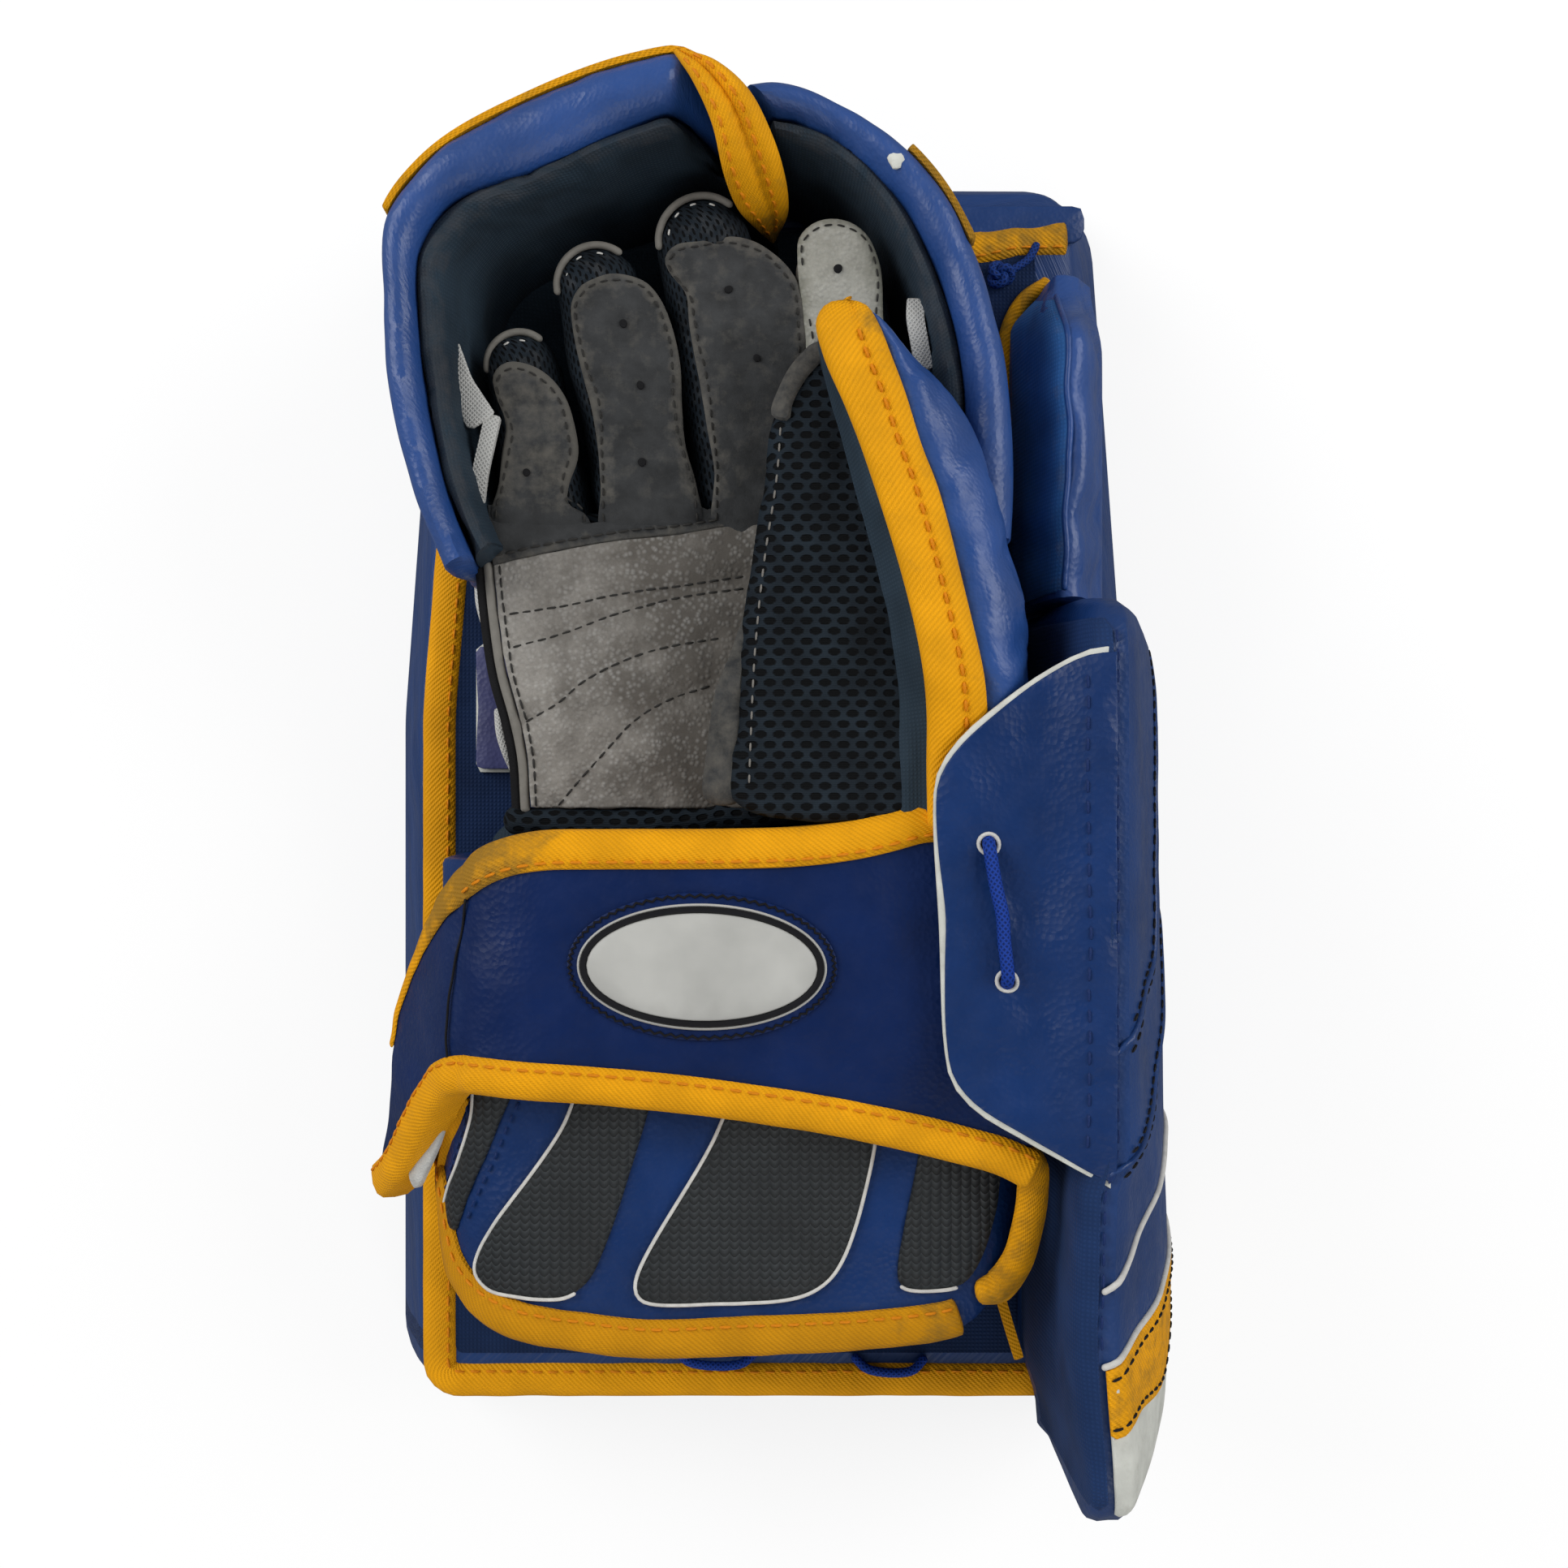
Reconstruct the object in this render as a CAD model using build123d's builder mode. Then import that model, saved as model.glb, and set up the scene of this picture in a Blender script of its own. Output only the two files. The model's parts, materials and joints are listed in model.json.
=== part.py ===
from build123d import *
from math import atan, degrees, hypot, radians, tan
import os

# Goalkeeper's blocker for the right hand, lying face down with the palm side up.
# Origin: centre of the board's flat front face. +X is the thumb side, +Y points to the
# fingertips, +Z goes from the front face up to the palm. All sizes are in millimetres.

# ---------------------------------------------------------------- driving dimensions
BOARD_WIDTH = 203
BOARD_LENGTH = 335
BOARD_TOP_TAPER = 10.5        # each side leans in by this much at the top end
BOARD_TAPER_START = 20        # height along Y where the sides begin to lean in
BOARD_CORNER = 22
BOARD_SLOPE = 13              # the edge slants in by this much from front face to back
PANEL_TOP = 35                # back panel, where the glove is laced on
BACK = 35.5                   # top of the binding round the back panel
COVER_SKIN = 2
FOAM_TOP = 26.5
STIFFENER_TOP = 29.5
BINDING_WIDTH = 8

WALL_LOW, WALL_HIGH = -166, 44
WALL_RIDGE = 108
WALL_SKIN = 2

PAD_LOW, PAD_HIGH = 46, 130
PAD_RIDGE = 75

GUARD_RIM = 95
GUARD_ROLLS = [8, 8, 14, 16, 9]   # padded roll's width along each side of its path
INDEX_ROLLS = [12, 10, 8, 10, 12, 12]
GUARD_LINING = 3.5
INDEX_RIM = 90
INDEX_LOW_RIM = 77.5          # rim where the thumb guard passes over it

HAND_LOW, PALM_TOP = 50, 77
PALM_SKIN = 2.5
FINGER_LOW = 52
STALL_WALL = 2

THUMB_LOW, THUMB_TOP = 80, 99
THUMB_GUARD_TOP = 105
THUMB_HINGE_Y = 26
THUMB_GAP = 0.6

STRAP_TOP = 98
STRAP_THICK = 7
STRAP_HINGE_X = 36
STRAP_GAP = 0.6
FLAP_LOW, FLAP_TOP = 102, 104.2

CUFF_THICK = 6
CUFF_LOW, CUFF_HIGH = -132, -14

FAR = 400                     # longer than anything on the blocker


# ---------------------------------------------------------------- shared shapes
def fitted_radii(points, radius, close):
    """Corner radii, cut down where the sides beside a corner are too short for them."""
    count = len(points)
    wanted = radius if isinstance(radius, list) else [radius] * count
    corners = range(count) if close else range(1, count - 1)
    if not close and isinstance(radius, list):
        wanted = [0, *radius, 0]
    fitted = []
    for i in corners:
        back = Vector(points[i]) - Vector(points[i - 1])
        ahead = Vector(points[(i + 1) % count]) - Vector(points[i])
        half_turn = tan(radians(back.get_angle(ahead) / 2))
        fitted.append(min(wanted[i], 0.47 * min(back.length, ahead.length) / half_turn))
    return fitted


def rounded_line(points, radius, close=False):
    return FilletPolyline(*points, radius=fitted_radii(points, radius, close), close=close)


def outline(*points, radius=4):
    """Flat face with straight sides and rounded corners."""
    with BuildSketch() as face:
        with BuildLine():
            rounded_line(points, radius, close=True)
        make_face()
    return face.sketch


def band(points, radius, near, far, side=Side.RIGHT):
    """Strip that runs beside a rounded path, from one distance to another."""
    with BuildSketch() as strip:
        with BuildLine():
            rounded_line(points, radius)
            offset(amount=far, side=side)
        make_face()
        if near > 0:
            with BuildLine():
                rounded_line(points, radius)
                offset(amount=near, side=side)
            make_face(mode=Mode.SUBTRACT)
    return strip.sketch


def drawn_in(points, widths):
    """The path with each of its sides moved to the right by its own width."""
    sides = []
    for (x0, y0), (x1, y1), width in zip(points, points[1:], widths):
        ahead = Vector(x1 - x0, y1 - y0).normalized()
        inward = Vector(ahead.Y, -ahead.X) * width
        sides.append((Vector(x0, y0) + inward, Vector(x1, y1) + inward, ahead))
    corners = [sides[0][0]]
    for (start, _, along), (other, _, ahead) in zip(sides, sides[1:]):
        gap = other - start
        reach = (gap.X * ahead.Y - gap.Y * ahead.X) / (along.X * ahead.Y - along.Y * ahead.X)
        corners.append(start + along * reach)
    corners.append(sides[-1][1])
    return [(corner.X, corner.Y) for corner in corners]


def strip(outer, inner, radius):
    """Flat face between two rounded paths that run side by side."""
    with BuildSketch() as face:
        with BuildLine():
            far = rounded_line(outer, radius)
            near = rounded_line(inner, radius)
            Line(far @ 0, near @ 0)
            Line(far @ 1, near @ 1)
        make_face()
    return face.sketch


def shortened(points, length):
    """The same path with both ends drawn back."""
    def drawn_back(end, neighbour):
        reach = hypot(neighbour[0] - end[0], neighbour[1] - end[1])
        share = length / reach
        return tuple(e + (n - e) * share for e, n in zip(end, neighbour))

    return [drawn_back(points[0], points[1]), *points[1:-1],
            drawn_back(points[-1], points[-2])]


def slab(face, low, high):
    """Flat plate of the given outline between two heights."""
    with BuildPart() as plate:
        with BuildSketch(Plane.XY.offset(low)):
            add(face)
        extrude(amount=high - low)
    return plate.part


def bar(face, low=-FAR / 2, high=FAR / 2):
    """Bar along Y whose X-Z section is the given face."""
    with BuildPart() as rod:
        with BuildSketch(Plane.XZ.offset(-high)):
            add(face)
        extrude(amount=high - low)
    return rod.part


def cross_bar(face, low=-FAR / 2, high=FAR / 2):
    """Bar along X whose Y-Z section is the given face."""
    with BuildPart() as rod:
        with BuildSketch(Plane.YZ.offset(low)):
            add(face)
        extrude(amount=high - low)
    return rod.part


def save(piece, name):
    piece.label = name
    export_step(piece, f"parts/{name}.step")


os.makedirs("parts", exist_ok=True)


# ---------------------------------------------------------------- front board
EDGE_LEAN = BOARD_SLOPE / PANEL_TOP
EDGE_ANGLE = degrees(atan(EDGE_LEAN))


def board_outline(inset):
    half, top = BOARD_WIDTH / 2 - inset, BOARD_LENGTH / 2 - inset
    narrow = half - BOARD_TOP_TAPER
    corner = BOARD_CORNER - min(inset, BOARD_CORNER - 2)
    return outline((-half, -top), (half, -top), (half, BOARD_TAPER_START),
                   (narrow, top), (-narrow, top), (-half, BOARD_TAPER_START),
                   radius=[corner, corner, 120, corner, corner, 120])


def board_layer(skin, low, high):
    """Slice of the board between two heights, a skin's thickness inside its edge."""
    with BuildPart() as layer:
        with BuildSketch(Plane.XY.offset(low)):
            add(board_outline(skin + low * EDGE_LEAN))
        extrude(amount=high - low, taper=EDGE_ANGLE)
    return layer.part


with BuildPart() as board_front_cover:
    add(board_layer(0, 0, PANEL_TOP - 1.5))
    chamfer(faces().sort_by(Axis.Z)[0].edges(), length=1.2)
    add(board_layer(COVER_SKIN, COVER_SKIN, PANEL_TOP), mode=Mode.SUBTRACT)
save(board_front_cover.part, "board_front_cover")

with BuildPart() as board_foam:
    add(board_layer(COVER_SKIN, COVER_SKIN, FOAM_TOP))
save(board_foam.part, "board_foam")

with BuildPart() as board_stiffener:
    add(board_layer(COVER_SKIN + 0.1, FOAM_TOP, STIFFENER_TOP))
save(board_stiffener.part, "board_stiffener")

BACK_EDGE = BOARD_SLOPE + 0.5
with BuildPart() as board_back_panel:
    add(slab(board_outline(BACK_EDGE + BINDING_WIDTH), STIFFENER_TOP, PANEL_TOP))
save(board_back_panel.part, "board_back_panel")

with BuildPart() as board_binding:
    with BuildSketch(Plane.XY.offset(PANEL_TOP - 1.5)):
        add(board_outline(BACK_EDGE))
        add(board_outline(BACK_EDGE + BINDING_WIDTH), mode=Mode.SUBTRACT)
    extrude(amount=BACK - PANEL_TOP + 1.5)
save(board_binding.part, "board_binding")


# ---------------------------------------------------------------- side wall, thumb side
WALL_BASE_IN, WALL_TOP_IN = 66, 73
BOARD_BACK_X = BOARD_WIDTH / 2 - BOARD_SLOPE + 0.9
WALL_SECTION = [(WALL_BASE_IN, BACK), (WALL_TOP_IN, WALL_RIDGE), (81, WALL_RIDGE),
                (98, 62), (104.5, 22), (104.5, 3), (101.6, 3), (BOARD_BACK_X, BACK)]
WALL_CORNERS = [2, 3, 4, 40, 6, 0.8, 0.8, 0.8]
WALL_LINING = 1.9


def wall_shape(inset):
    """Leaning wedge with a rounded ridge end, a skin's thickness inside its faces."""
    section = outline(*WALL_SECTION, radius=WALL_CORNERS)
    low, high, top = WALL_LOW + inset, WALL_HIGH - inset, WALL_RIDGE + 2
    side = outline((low, 0), (high, 0), (high, top - 2 - inset), (low, top - 2 - inset),
                   radius=[1, 1, 16, 22])
    with BuildPart() as wedge:
        with BuildSketch(Plane.XZ.offset(-WALL_HIGH)):
            add(section)
            if inset > 0:
                offset(amount=-inset)
        extrude(amount=WALL_HIGH - WALL_LOW)
        add(cross_bar(side), mode=Mode.INTERSECT)
    return wedge.part


wall_inner_face = outline((WALL_BASE_IN - 3, 0), (WALL_BASE_IN + WALL_LINING, BACK),
                          (WALL_TOP_IN + WALL_LINING - 1.4, WALL_RIDGE - 7),
                          (WALL_TOP_IN - 9, WALL_RIDGE - 7), radius=0)
wall_whole = wall_shape(0)
wall_inside = wall_shape(WALL_SKIN)

with BuildPart() as side_wall_core:
    add(wall_inside)
save(side_wall_core.part, "side_wall_core")

with BuildPart() as side_wall_lining:
    add(wall_whole)
    add(bar(wall_inner_face), mode=Mode.INTERSECT)
    add(wall_inside, mode=Mode.SUBTRACT)
save(side_wall_lining.part, "side_wall_lining")

with BuildPart() as side_wall_cover:
    add(wall_whole)
    add(wall_inside, mode=Mode.SUBTRACT)
    add(bar(wall_inner_face), mode=Mode.SUBTRACT)
save(side_wall_cover.part, "side_wall_cover")

FLAP_HOLES = [(50, -11.5), (54, -41.5)]
HOLE_RADIUS, LACE_RADIUS = 2.2, 1.4
with BuildPart() as lace_flap:
    with BuildSketch(Plane.XY.offset(FLAP_LOW)):
        add(outline((72, 31), (52, 19), (39, 5), (37.8, -4), (40.3, -57), (46, -68.5),
                    (72, -83), radius=[1, 14, 9, 9, 9, 10, 1]))
        with Locations(*FLAP_HOLES):
            Circle(HOLE_RADIUS, mode=Mode.SUBTRACT)
    extrude(amount=FLAP_TOP - FLAP_LOW)
save(lace_flap.part, "lace_flap")

LACE_TOP = FLAP_TOP + LACE_RADIUS + 0.1
LACE_END = FLAP_LOW - 1.2
with BuildPart() as flap_lace:
    with BuildLine() as lace_path:
        FilletPolyline(*[(x, y, z) for (x, y), z in (
            (FLAP_HOLES[0], LACE_END), (FLAP_HOLES[0], LACE_TOP),
            (FLAP_HOLES[1], LACE_TOP), (FLAP_HOLES[1], LACE_END))], radius=2.2)
    with BuildSketch(Plane(lace_path.line @ 0, z_dir=lace_path.line % 0)):
        Circle(LACE_RADIUS)
    sweep(path=lace_path.line)
save(flap_lace.part, "flap_lace")


# ---------------------------------------------------------------- upper side pad
PAD_SECTION = [(63.5, BACK), (71, PAD_RIDGE), (75.5, PAD_RIDGE), (87.6, BACK)]
PAD_PLAN = [(62, PAD_LOW), (90, PAD_LOW), (84, 129), (73, 131), (62, 120)]
PAD_SKIN = 1.6


def pad_shape(inset):
    low, high, top = PAD_LOW + inset, PAD_HIGH - inset, PAD_RIDGE - inset
    side = outline((low, 0), (high, 0), (high, BACK + 6), (high - 18, top), (low, top),
                   radius=[1, 1, 4, 12, 6])
    with BuildPart() as wedge:
        with BuildSketch(Plane.XZ.offset(-PAD_HIGH)):
            add(outline(*PAD_SECTION, radius=[0.5, 2, 2, 0.5]))
            if inset > 0:
                offset(amount=-inset)
        extrude(amount=PAD_HIGH - PAD_LOW)
        add(cross_bar(side), mode=Mode.INTERSECT)
        with BuildSketch(Plane.XY):
            add(outline(*PAD_PLAN, radius=[1, 1, 4, 3, 6]))
            if inset > 0:
                offset(amount=-inset)
        extrude(amount=FAR / 2, mode=Mode.INTERSECT)
    return wedge.part


PAD_SPLIT = 73.2
pad_whole = pad_shape(0)
pad_inside = pad_shape(PAD_SKIN)
with BuildPart() as upper_pad_foam:
    add(pad_inside)
save(upper_pad_foam.part, "upper_pad_foam")

pad_halves = {"upper_pad_lining": Keep.BOTTOM, "upper_pad_cover": Keep.TOP}
for pad_name, kept_half in pad_halves.items():
    with BuildPart() as pad_half:
        add(pad_whole)
        add(pad_inside, mode=Mode.SUBTRACT)
        split(bisect_by=Plane.YZ.offset(PAD_SPLIT), keep=kept_half)
    save(pad_half.part, pad_name)

with BuildPart() as upper_pad_binding:
    add(slab(band([(61.9, PAD_LOW + 1), (61.9, 120.4), (73, 131.4), (84, 129.8)], 5, 0, 3.2,
                  side=Side.LEFT), BACK, BACK + 2.5))
save(upper_pad_binding.part, "upper_pad_binding")


# ---------------------------------------------------------------- finger guard
GUARD_PATH = [(-73.5, 50), (-84.5, 88), (-84.5, 134), (-52, 158), (-19, 166), (8, 149)]
GUARD_RADIUS = 60
SLOPE_TOP, SLOPE_LOW = (-20, GUARD_RIM), (9, 44)
guard_slope = outline(SLOPE_TOP, SLOPE_LOW, (30, 44), (30, GUARD_RIM + 20),
                      (-20, GUARD_RIM + 20), radius=0)


def moved_in(path, widths, extra=0):
    return drawn_in(path, [width + extra for width in widths])


guard_seam = moved_in(GUARD_PATH, GUARD_ROLLS)
guard_inside = moved_in(GUARD_PATH, GUARD_ROLLS, GUARD_LINING)
guard_band = strip(GUARD_PATH, guard_inside, GUARD_RADIUS)


def guard_layer(outer, inner, low, high):
    with BuildPart() as layer:
        add(slab(strip(outer, inner, GUARD_RADIUS), low, high))
        add(bar(guard_slope, 100, 190), mode=Mode.SUBTRACT)
    return layer.part


SKIN = 2
with BuildPart() as finger_guard_foam:
    guard_core = shortened(GUARD_PATH, 3)
    add(guard_layer(drawn_in(guard_core, [SKIN] * len(GUARD_ROLLS)),
                    moved_in(guard_core, GUARD_ROLLS, -SKIN), BACK + SKIN, GUARD_RIM - 2.5))
save(finger_guard_foam.part, "finger_guard_foam")

with BuildPart() as finger_guard_cover:
    add(guard_layer(GUARD_PATH, guard_seam, BACK, GUARD_RIM))
    fillet(edges().group_by(Axis.Z)[-1].filter_by(lambda e: e.length > 20), radius=2)
    add(finger_guard_foam.part, mode=Mode.SUBTRACT)
save(finger_guard_cover.part, "finger_guard_cover")

with BuildPart() as finger_guard_lining:
    add(guard_layer(guard_seam, guard_inside, BACK, GUARD_RIM - 3))
save(finger_guard_lining.part, "finger_guard_lining")

# Binding folded over the sloping end, and a narrow one along the outer edge.
SLOPE_RUN = hypot(SLOPE_LOW[0] - SLOPE_TOP[0], SLOPE_LOW[1] - SLOPE_TOP[1])
BINDING_RISE = 2.2
slope_out = ((SLOPE_TOP[1] - SLOPE_LOW[1]) / SLOPE_RUN * BINDING_RISE,
             (SLOPE_LOW[0] - SLOPE_TOP[0]) / SLOPE_RUN * BINDING_RISE)
slope_band = outline(SLOPE_TOP, SLOPE_LOW,
                     (SLOPE_LOW[0] + slope_out[0], SLOPE_LOW[1] + slope_out[1]),
                     (SLOPE_TOP[0] + slope_out[0], SLOPE_TOP[1] + slope_out[1]), radius=0)
EDGE_BINDING = 1.6
edge_path = [*GUARD_PATH[1:5], (-5, 157.2)]
with BuildPart() as finger_guard_binding:
    add(slab(band(edge_path, GUARD_RADIUS, 0, EDGE_BINDING, side=Side.LEFT),
             GUARD_RIM - 15, GUARD_RIM - 8))
    add(bar(guard_slope, 100, 190), mode=Mode.SUBTRACT)
    add(bar(slope_band, 100, 190) & slab(guard_band, BACK, GUARD_RIM + 6))
save(finger_guard_binding.part, "finger_guard_binding")


# ---------------------------------------------------------------- index finger guard
INDEX_PATH = [(-6, 161), (8, 160.5), (26, 151), (45, 128), (53, 100), (57, 70), (56.5, 57)]
INDEX_RADIUS = 60
index_slope = outline((132, INDEX_RIM), (104, INDEX_LOW_RIM), (40, INDEX_LOW_RIM - 6),
                      (40, INDEX_RIM + 20), (132, INDEX_RIM + 20), radius=0)
index_room = outline((-19, 167.2), (9.6, 149.4), (1, 135), (-26, 150), radius=0)


index_seam = moved_in(INDEX_PATH, INDEX_ROLLS)
index_inside = moved_in(INDEX_PATH, INDEX_ROLLS, GUARD_LINING)
index_band = strip(INDEX_PATH, index_inside, INDEX_RADIUS)


def index_layer(outer, inner, low, high):
    with BuildPart() as layer:
        add(slab(strip(outer, inner, INDEX_RADIUS), low, high))
        add(cross_bar(index_slope), mode=Mode.SUBTRACT)
        add(slab(index_room, 0, FAR), mode=Mode.SUBTRACT)
    return layer.part


with BuildPart() as index_guard_foam:
    index_core = shortened(INDEX_PATH, 3)
    add(index_layer(drawn_in(index_core, [SKIN] * len(INDEX_ROLLS)),
                    moved_in(index_core, INDEX_ROLLS, -SKIN), BACK + SKIN, INDEX_RIM - 2.5))
    add(cross_bar(index_slope).moved(Location((0, 0, -2))), mode=Mode.SUBTRACT)
save(index_guard_foam.part, "index_guard_foam")

with BuildPart() as index_guard_cover:
    add(index_layer(INDEX_PATH, index_seam, BACK, INDEX_RIM))
    add(index_guard_foam.part, mode=Mode.SUBTRACT)
save(index_guard_cover.part, "index_guard_cover")

with BuildPart() as index_guard_lining:
    add(index_layer(index_seam, index_inside, BACK, INDEX_RIM - 3))
save(index_guard_lining.part, "index_guard_lining")

with BuildPart() as index_guard_edge_binding:
    add(slab(band(INDEX_PATH[1:5], INDEX_RADIUS, 0, EDGE_BINDING, side=Side.LEFT),
             INDEX_LOW_RIM - 8, INDEX_LOW_RIM - 1))
save(index_guard_edge_binding.part, "index_guard_edge_binding")


# ---------------------------------------------------------------- pads under the glove
with BuildPart() as finger_floor_pad:
    add(slab(outline((-62, 59), (-71, 88), (-71, 128), (-48, 144), (8, 144), (30, 126),
                     (39, 100), (41, 59), radius=12), PANEL_TOP, PANEL_TOP + 8))
    chamfer(faces().sort_by(Axis.Z)[-1].edges(), length=1.5)
    add(slab(guard_band, BACK, FAR), mode=Mode.SUBTRACT)
    add(slab(index_band, BACK, FAR), mode=Mode.SUBTRACT)
save(finger_floor_pad.part, "finger_floor_pad")

with BuildPart() as knuckle_pad:
    add(slab(outline((-60, -5), (40, -5), (40, 57), (-60, 57), radius=10),
             PANEL_TOP, HAND_LOW - 0.5))
    fillet(faces().sort_by(Axis.Z)[-1].edges(), radius=4)
save(knuckle_pad.part, "knuckle_pad")

with BuildPart() as wrist_pad:
    add(slab(outline((-70, -129), (55, -129), (55, -7), (-70, -7), radius=10),
             PANEL_TOP, 46))
    fillet(faces().sort_by(Axis.Z)[-1].edges(), radius=4)
save(wrist_pad.part, "wrist_pad")


# ---------------------------------------------------------------- hand of the glove
HAND_EDGE = [(-54.5, -4), (-59.2, 18), (-61.2, 34), (-62.2, 58.8)]
HAND_PLAN = [*HAND_EDGE, (-40, 60.6), (-16, 62.7), (37, 62.2), (37, -4)]
HAND_CORNERS = [3, 30, 30, 1.5, 1, 1, 1, 4]
with BuildPart() as palm_leather:
    add(slab(outline(*HAND_PLAN, radius=HAND_CORNERS), PALM_TOP - PALM_SKIN, PALM_TOP))
save(palm_leather.part, "palm_leather")

hand_plan = outline(*HAND_PLAN, radius=HAND_CORNERS)
hand_room = outline((-52.5, -30), (-52.5, -4), (-57.2, 18), (-59.2, 34), (-60.1, 54),
                    (-60.6, 90), (34.5, 90), (34.5, -30), radius=1)
with BuildPart() as hand_back_mesh:
    add(slab(hand_plan, HAND_LOW, PALM_TOP - PALM_SKIN))
    add(slab(hand_room, HAND_LOW + 2, FAR), mode=Mode.SUBTRACT)
save(hand_back_mesh.part, "hand_back_mesh")

PIPED_EDGE = [*HAND_EDGE[:3], (-61.7, 48)]
with BuildPart() as palm_edge_piping:
    with BuildLine() as piping_path:
        rounded_line([(x - 1.9, y, PALM_TOP - 2.2) for x, y in PIPED_EDGE], 30)
    with BuildSketch(Plane(piping_path.line @ 0, z_dir=piping_path.line % 0)):
        Circle(1.5)
    sweep(path=piping_path.line)
save(palm_edge_piping.part, "palm_edge_piping")


# ---------------------------------------------------------------- finger stalls
# name: root centre, tip centre, half width at the root, half width at the tip,
# suede patch as shares of the length where it begins and ends
FINGERS = {
    "pinky": ((-51, 62), (-57.5, 101), 11, 8.6, 0, 0.86),
    "ring": ((-27.5, 64), (-39.3, 120), 11.3, 10.2, 0, 0.9),
    "middle": ((-2.5, 65), (-14, 130.5), 12.6, 11.4, 0, 0.78),
    "index": ((24.5, 64), (18.5, 122), 12.4, 10.5, 0.6, 1.0),
}


def finger_outline(root, tip, root_half, tip_half, inset=0, reach=1.0, back=0):
    """Tapered finger with a round tip; inset draws its sides in."""
    length = hypot(tip[0] - root[0], tip[1] - root[1])
    ahead = ((tip[0] - root[0]) / length, (tip[1] - root[1]) / length)
    across = (ahead[1], -ahead[0])

    def at(along, sideways):
        return (root[0] + ahead[0] * along + across[0] * sideways,
                root[1] + ahead[1] * along + across[1] * sideways)

    wide, narrow = root_half - inset, tip_half - inset
    end = length * reach
    with BuildSketch() as face:
        with BuildLine():
            Polyline(at(end, -narrow), at(-back, -wide), at(-back, wide), at(end, narrow))
            ThreePointArc(at(end, narrow), at(end + narrow, 0), at(end, -narrow))
        make_face()
    return face.sketch


def finger_stall(root, tip, root_half, tip_half):
    """Hollow finger, open at the root, with rounded long edges."""
    with BuildPart() as stall:
        add(slab(finger_outline(root, tip, root_half, tip_half), FINGER_LOW, PALM_TOP))
        fillet(faces().sort_by(Axis.Z)[0].edges(), radius=5)
        add(slab(finger_outline(root, tip, root_half, tip_half, STALL_WALL, back=8),
                 FINGER_LOW + STALL_WALL, PALM_TOP - STALL_WALL), mode=Mode.SUBTRACT)
    return stall.part


def finger_patch(root, tip, root_half, tip_half, begin, end):
    """Thin grip patch sewn on the palm side of a stall."""
    with BuildPart() as patch:
        add(slab(finger_outline(root, tip, root_half, tip_half, 2.5, end),
                 PALM_TOP, PALM_TOP + 0.9))
        if begin > 0:
            add(slab(finger_outline(root, tip, root_half + 5, 1, 0, begin, back=9),
                     0, FAR), mode=Mode.SUBTRACT)
    return patch.part


for finger, (root, tip, root_half, tip_half, begin, end) in FINGERS.items():
    save(finger_stall(root, tip, root_half, tip_half), f"{finger}_stall")
    if finger == "index":
        patch = finger_patch(root, tip, root_half, tip_half, begin, end)
    else:
        patch = finger_patch(root, tip, root_half, tip_half - 1, begin, end - 0.02)
    save(patch, f"{finger}_grip_patch")


# ---------------------------------------------------------------- thumb
thumb_stall_plan = outline((-5, -2), (-3.6, 40), (0.5, 66), (2.5, 84), (8, 96), (13.5, 102.5),
                           (19, 98), (28, 74), (34, 52), (37.5, 30), (39, -2),
                           radius=[2, 30, 30, 20, 8, 4, 6, 30, 30, 30, 2])
thumb_stall_room = outline((-2.8, -40), (-2.8, -2), (-1.5, 40), (2.6, 66), (4.6, 83),
                           (10, 94.5), (13.6, 98.8), (17, 96.4), (25.8, 73.5), (31.8, 51.4),
                           (35.3, 29.8), (36.8, -2), (36.8, -40),
                           radius=[0.5, 20, 30, 30, 18, 4, 2, 4, 30, 30, 30, 20, 0.5])
guard_pad_plan = outline((47, 5), (46.5, 30), (42, 50), (35, 71), (28, 90), (24, 104.5),
                         (29, 104.5), (40, 93), (50.5, 75), (56.5, 56), (60.5, 38), (61, 5),
                         radius=[1, 40, 40, 40, 20, 2, 6, 16, 40, 40, 30, 1])
guard_lining_plan = outline((40.2, 5), (39.6, 30), (36, 52), (29.6, 74), (22, 94),
                            (24, 104), (28, 90), (35, 71), (42, 50), (46.5, 30), (47, 5),
                            radius=[0.5, 30, 30, 30, 3, 0.5, 20, 40, 40, 40, 0.5])
binding_plan = outline((37.6, 5), (35.8, 30), (31, 50), (24, 72), (16.4, 92), (12.6, 104),
                       (18, 107.5), (24, 104.5), (28, 90), (35, 71), (42, 50), (46.5, 30),
                       (47, 5), radius=[1, 40, 40, 40, 30, 3, 3, 3, 30, 40, 40, 40, 1])
THUMB_BINDING_LOW, THUMB_BINDING_TOP = 99.5, 107.2
LINING_TOP = THUMB_BINDING_LOW


def stall_shape():
    with BuildPart() as stall:
        add(slab(thumb_stall_plan, THUMB_LOW, THUMB_TOP))
        fillet(faces().sort_by(Axis.Z)[-1].edges(), radius=5)
        add(slab(thumb_stall_room, THUMB_LOW + STALL_WALL, THUMB_TOP - STALL_WALL),
            mode=Mode.SUBTRACT)
    return stall.part


def guard_pad_shape():
    with BuildPart() as pad:
        add(slab(guard_pad_plan, THUMB_LOW, THUMB_GUARD_TOP))
        add(slab(guard_lining_plan, THUMB_LOW, LINING_TOP), mode=Mode.SUBTRACT)
        add(slab(binding_plan, THUMB_BINDING_LOW, THUMB_BINDING_TOP), mode=Mode.SUBTRACT)
    return pad.part


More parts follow.
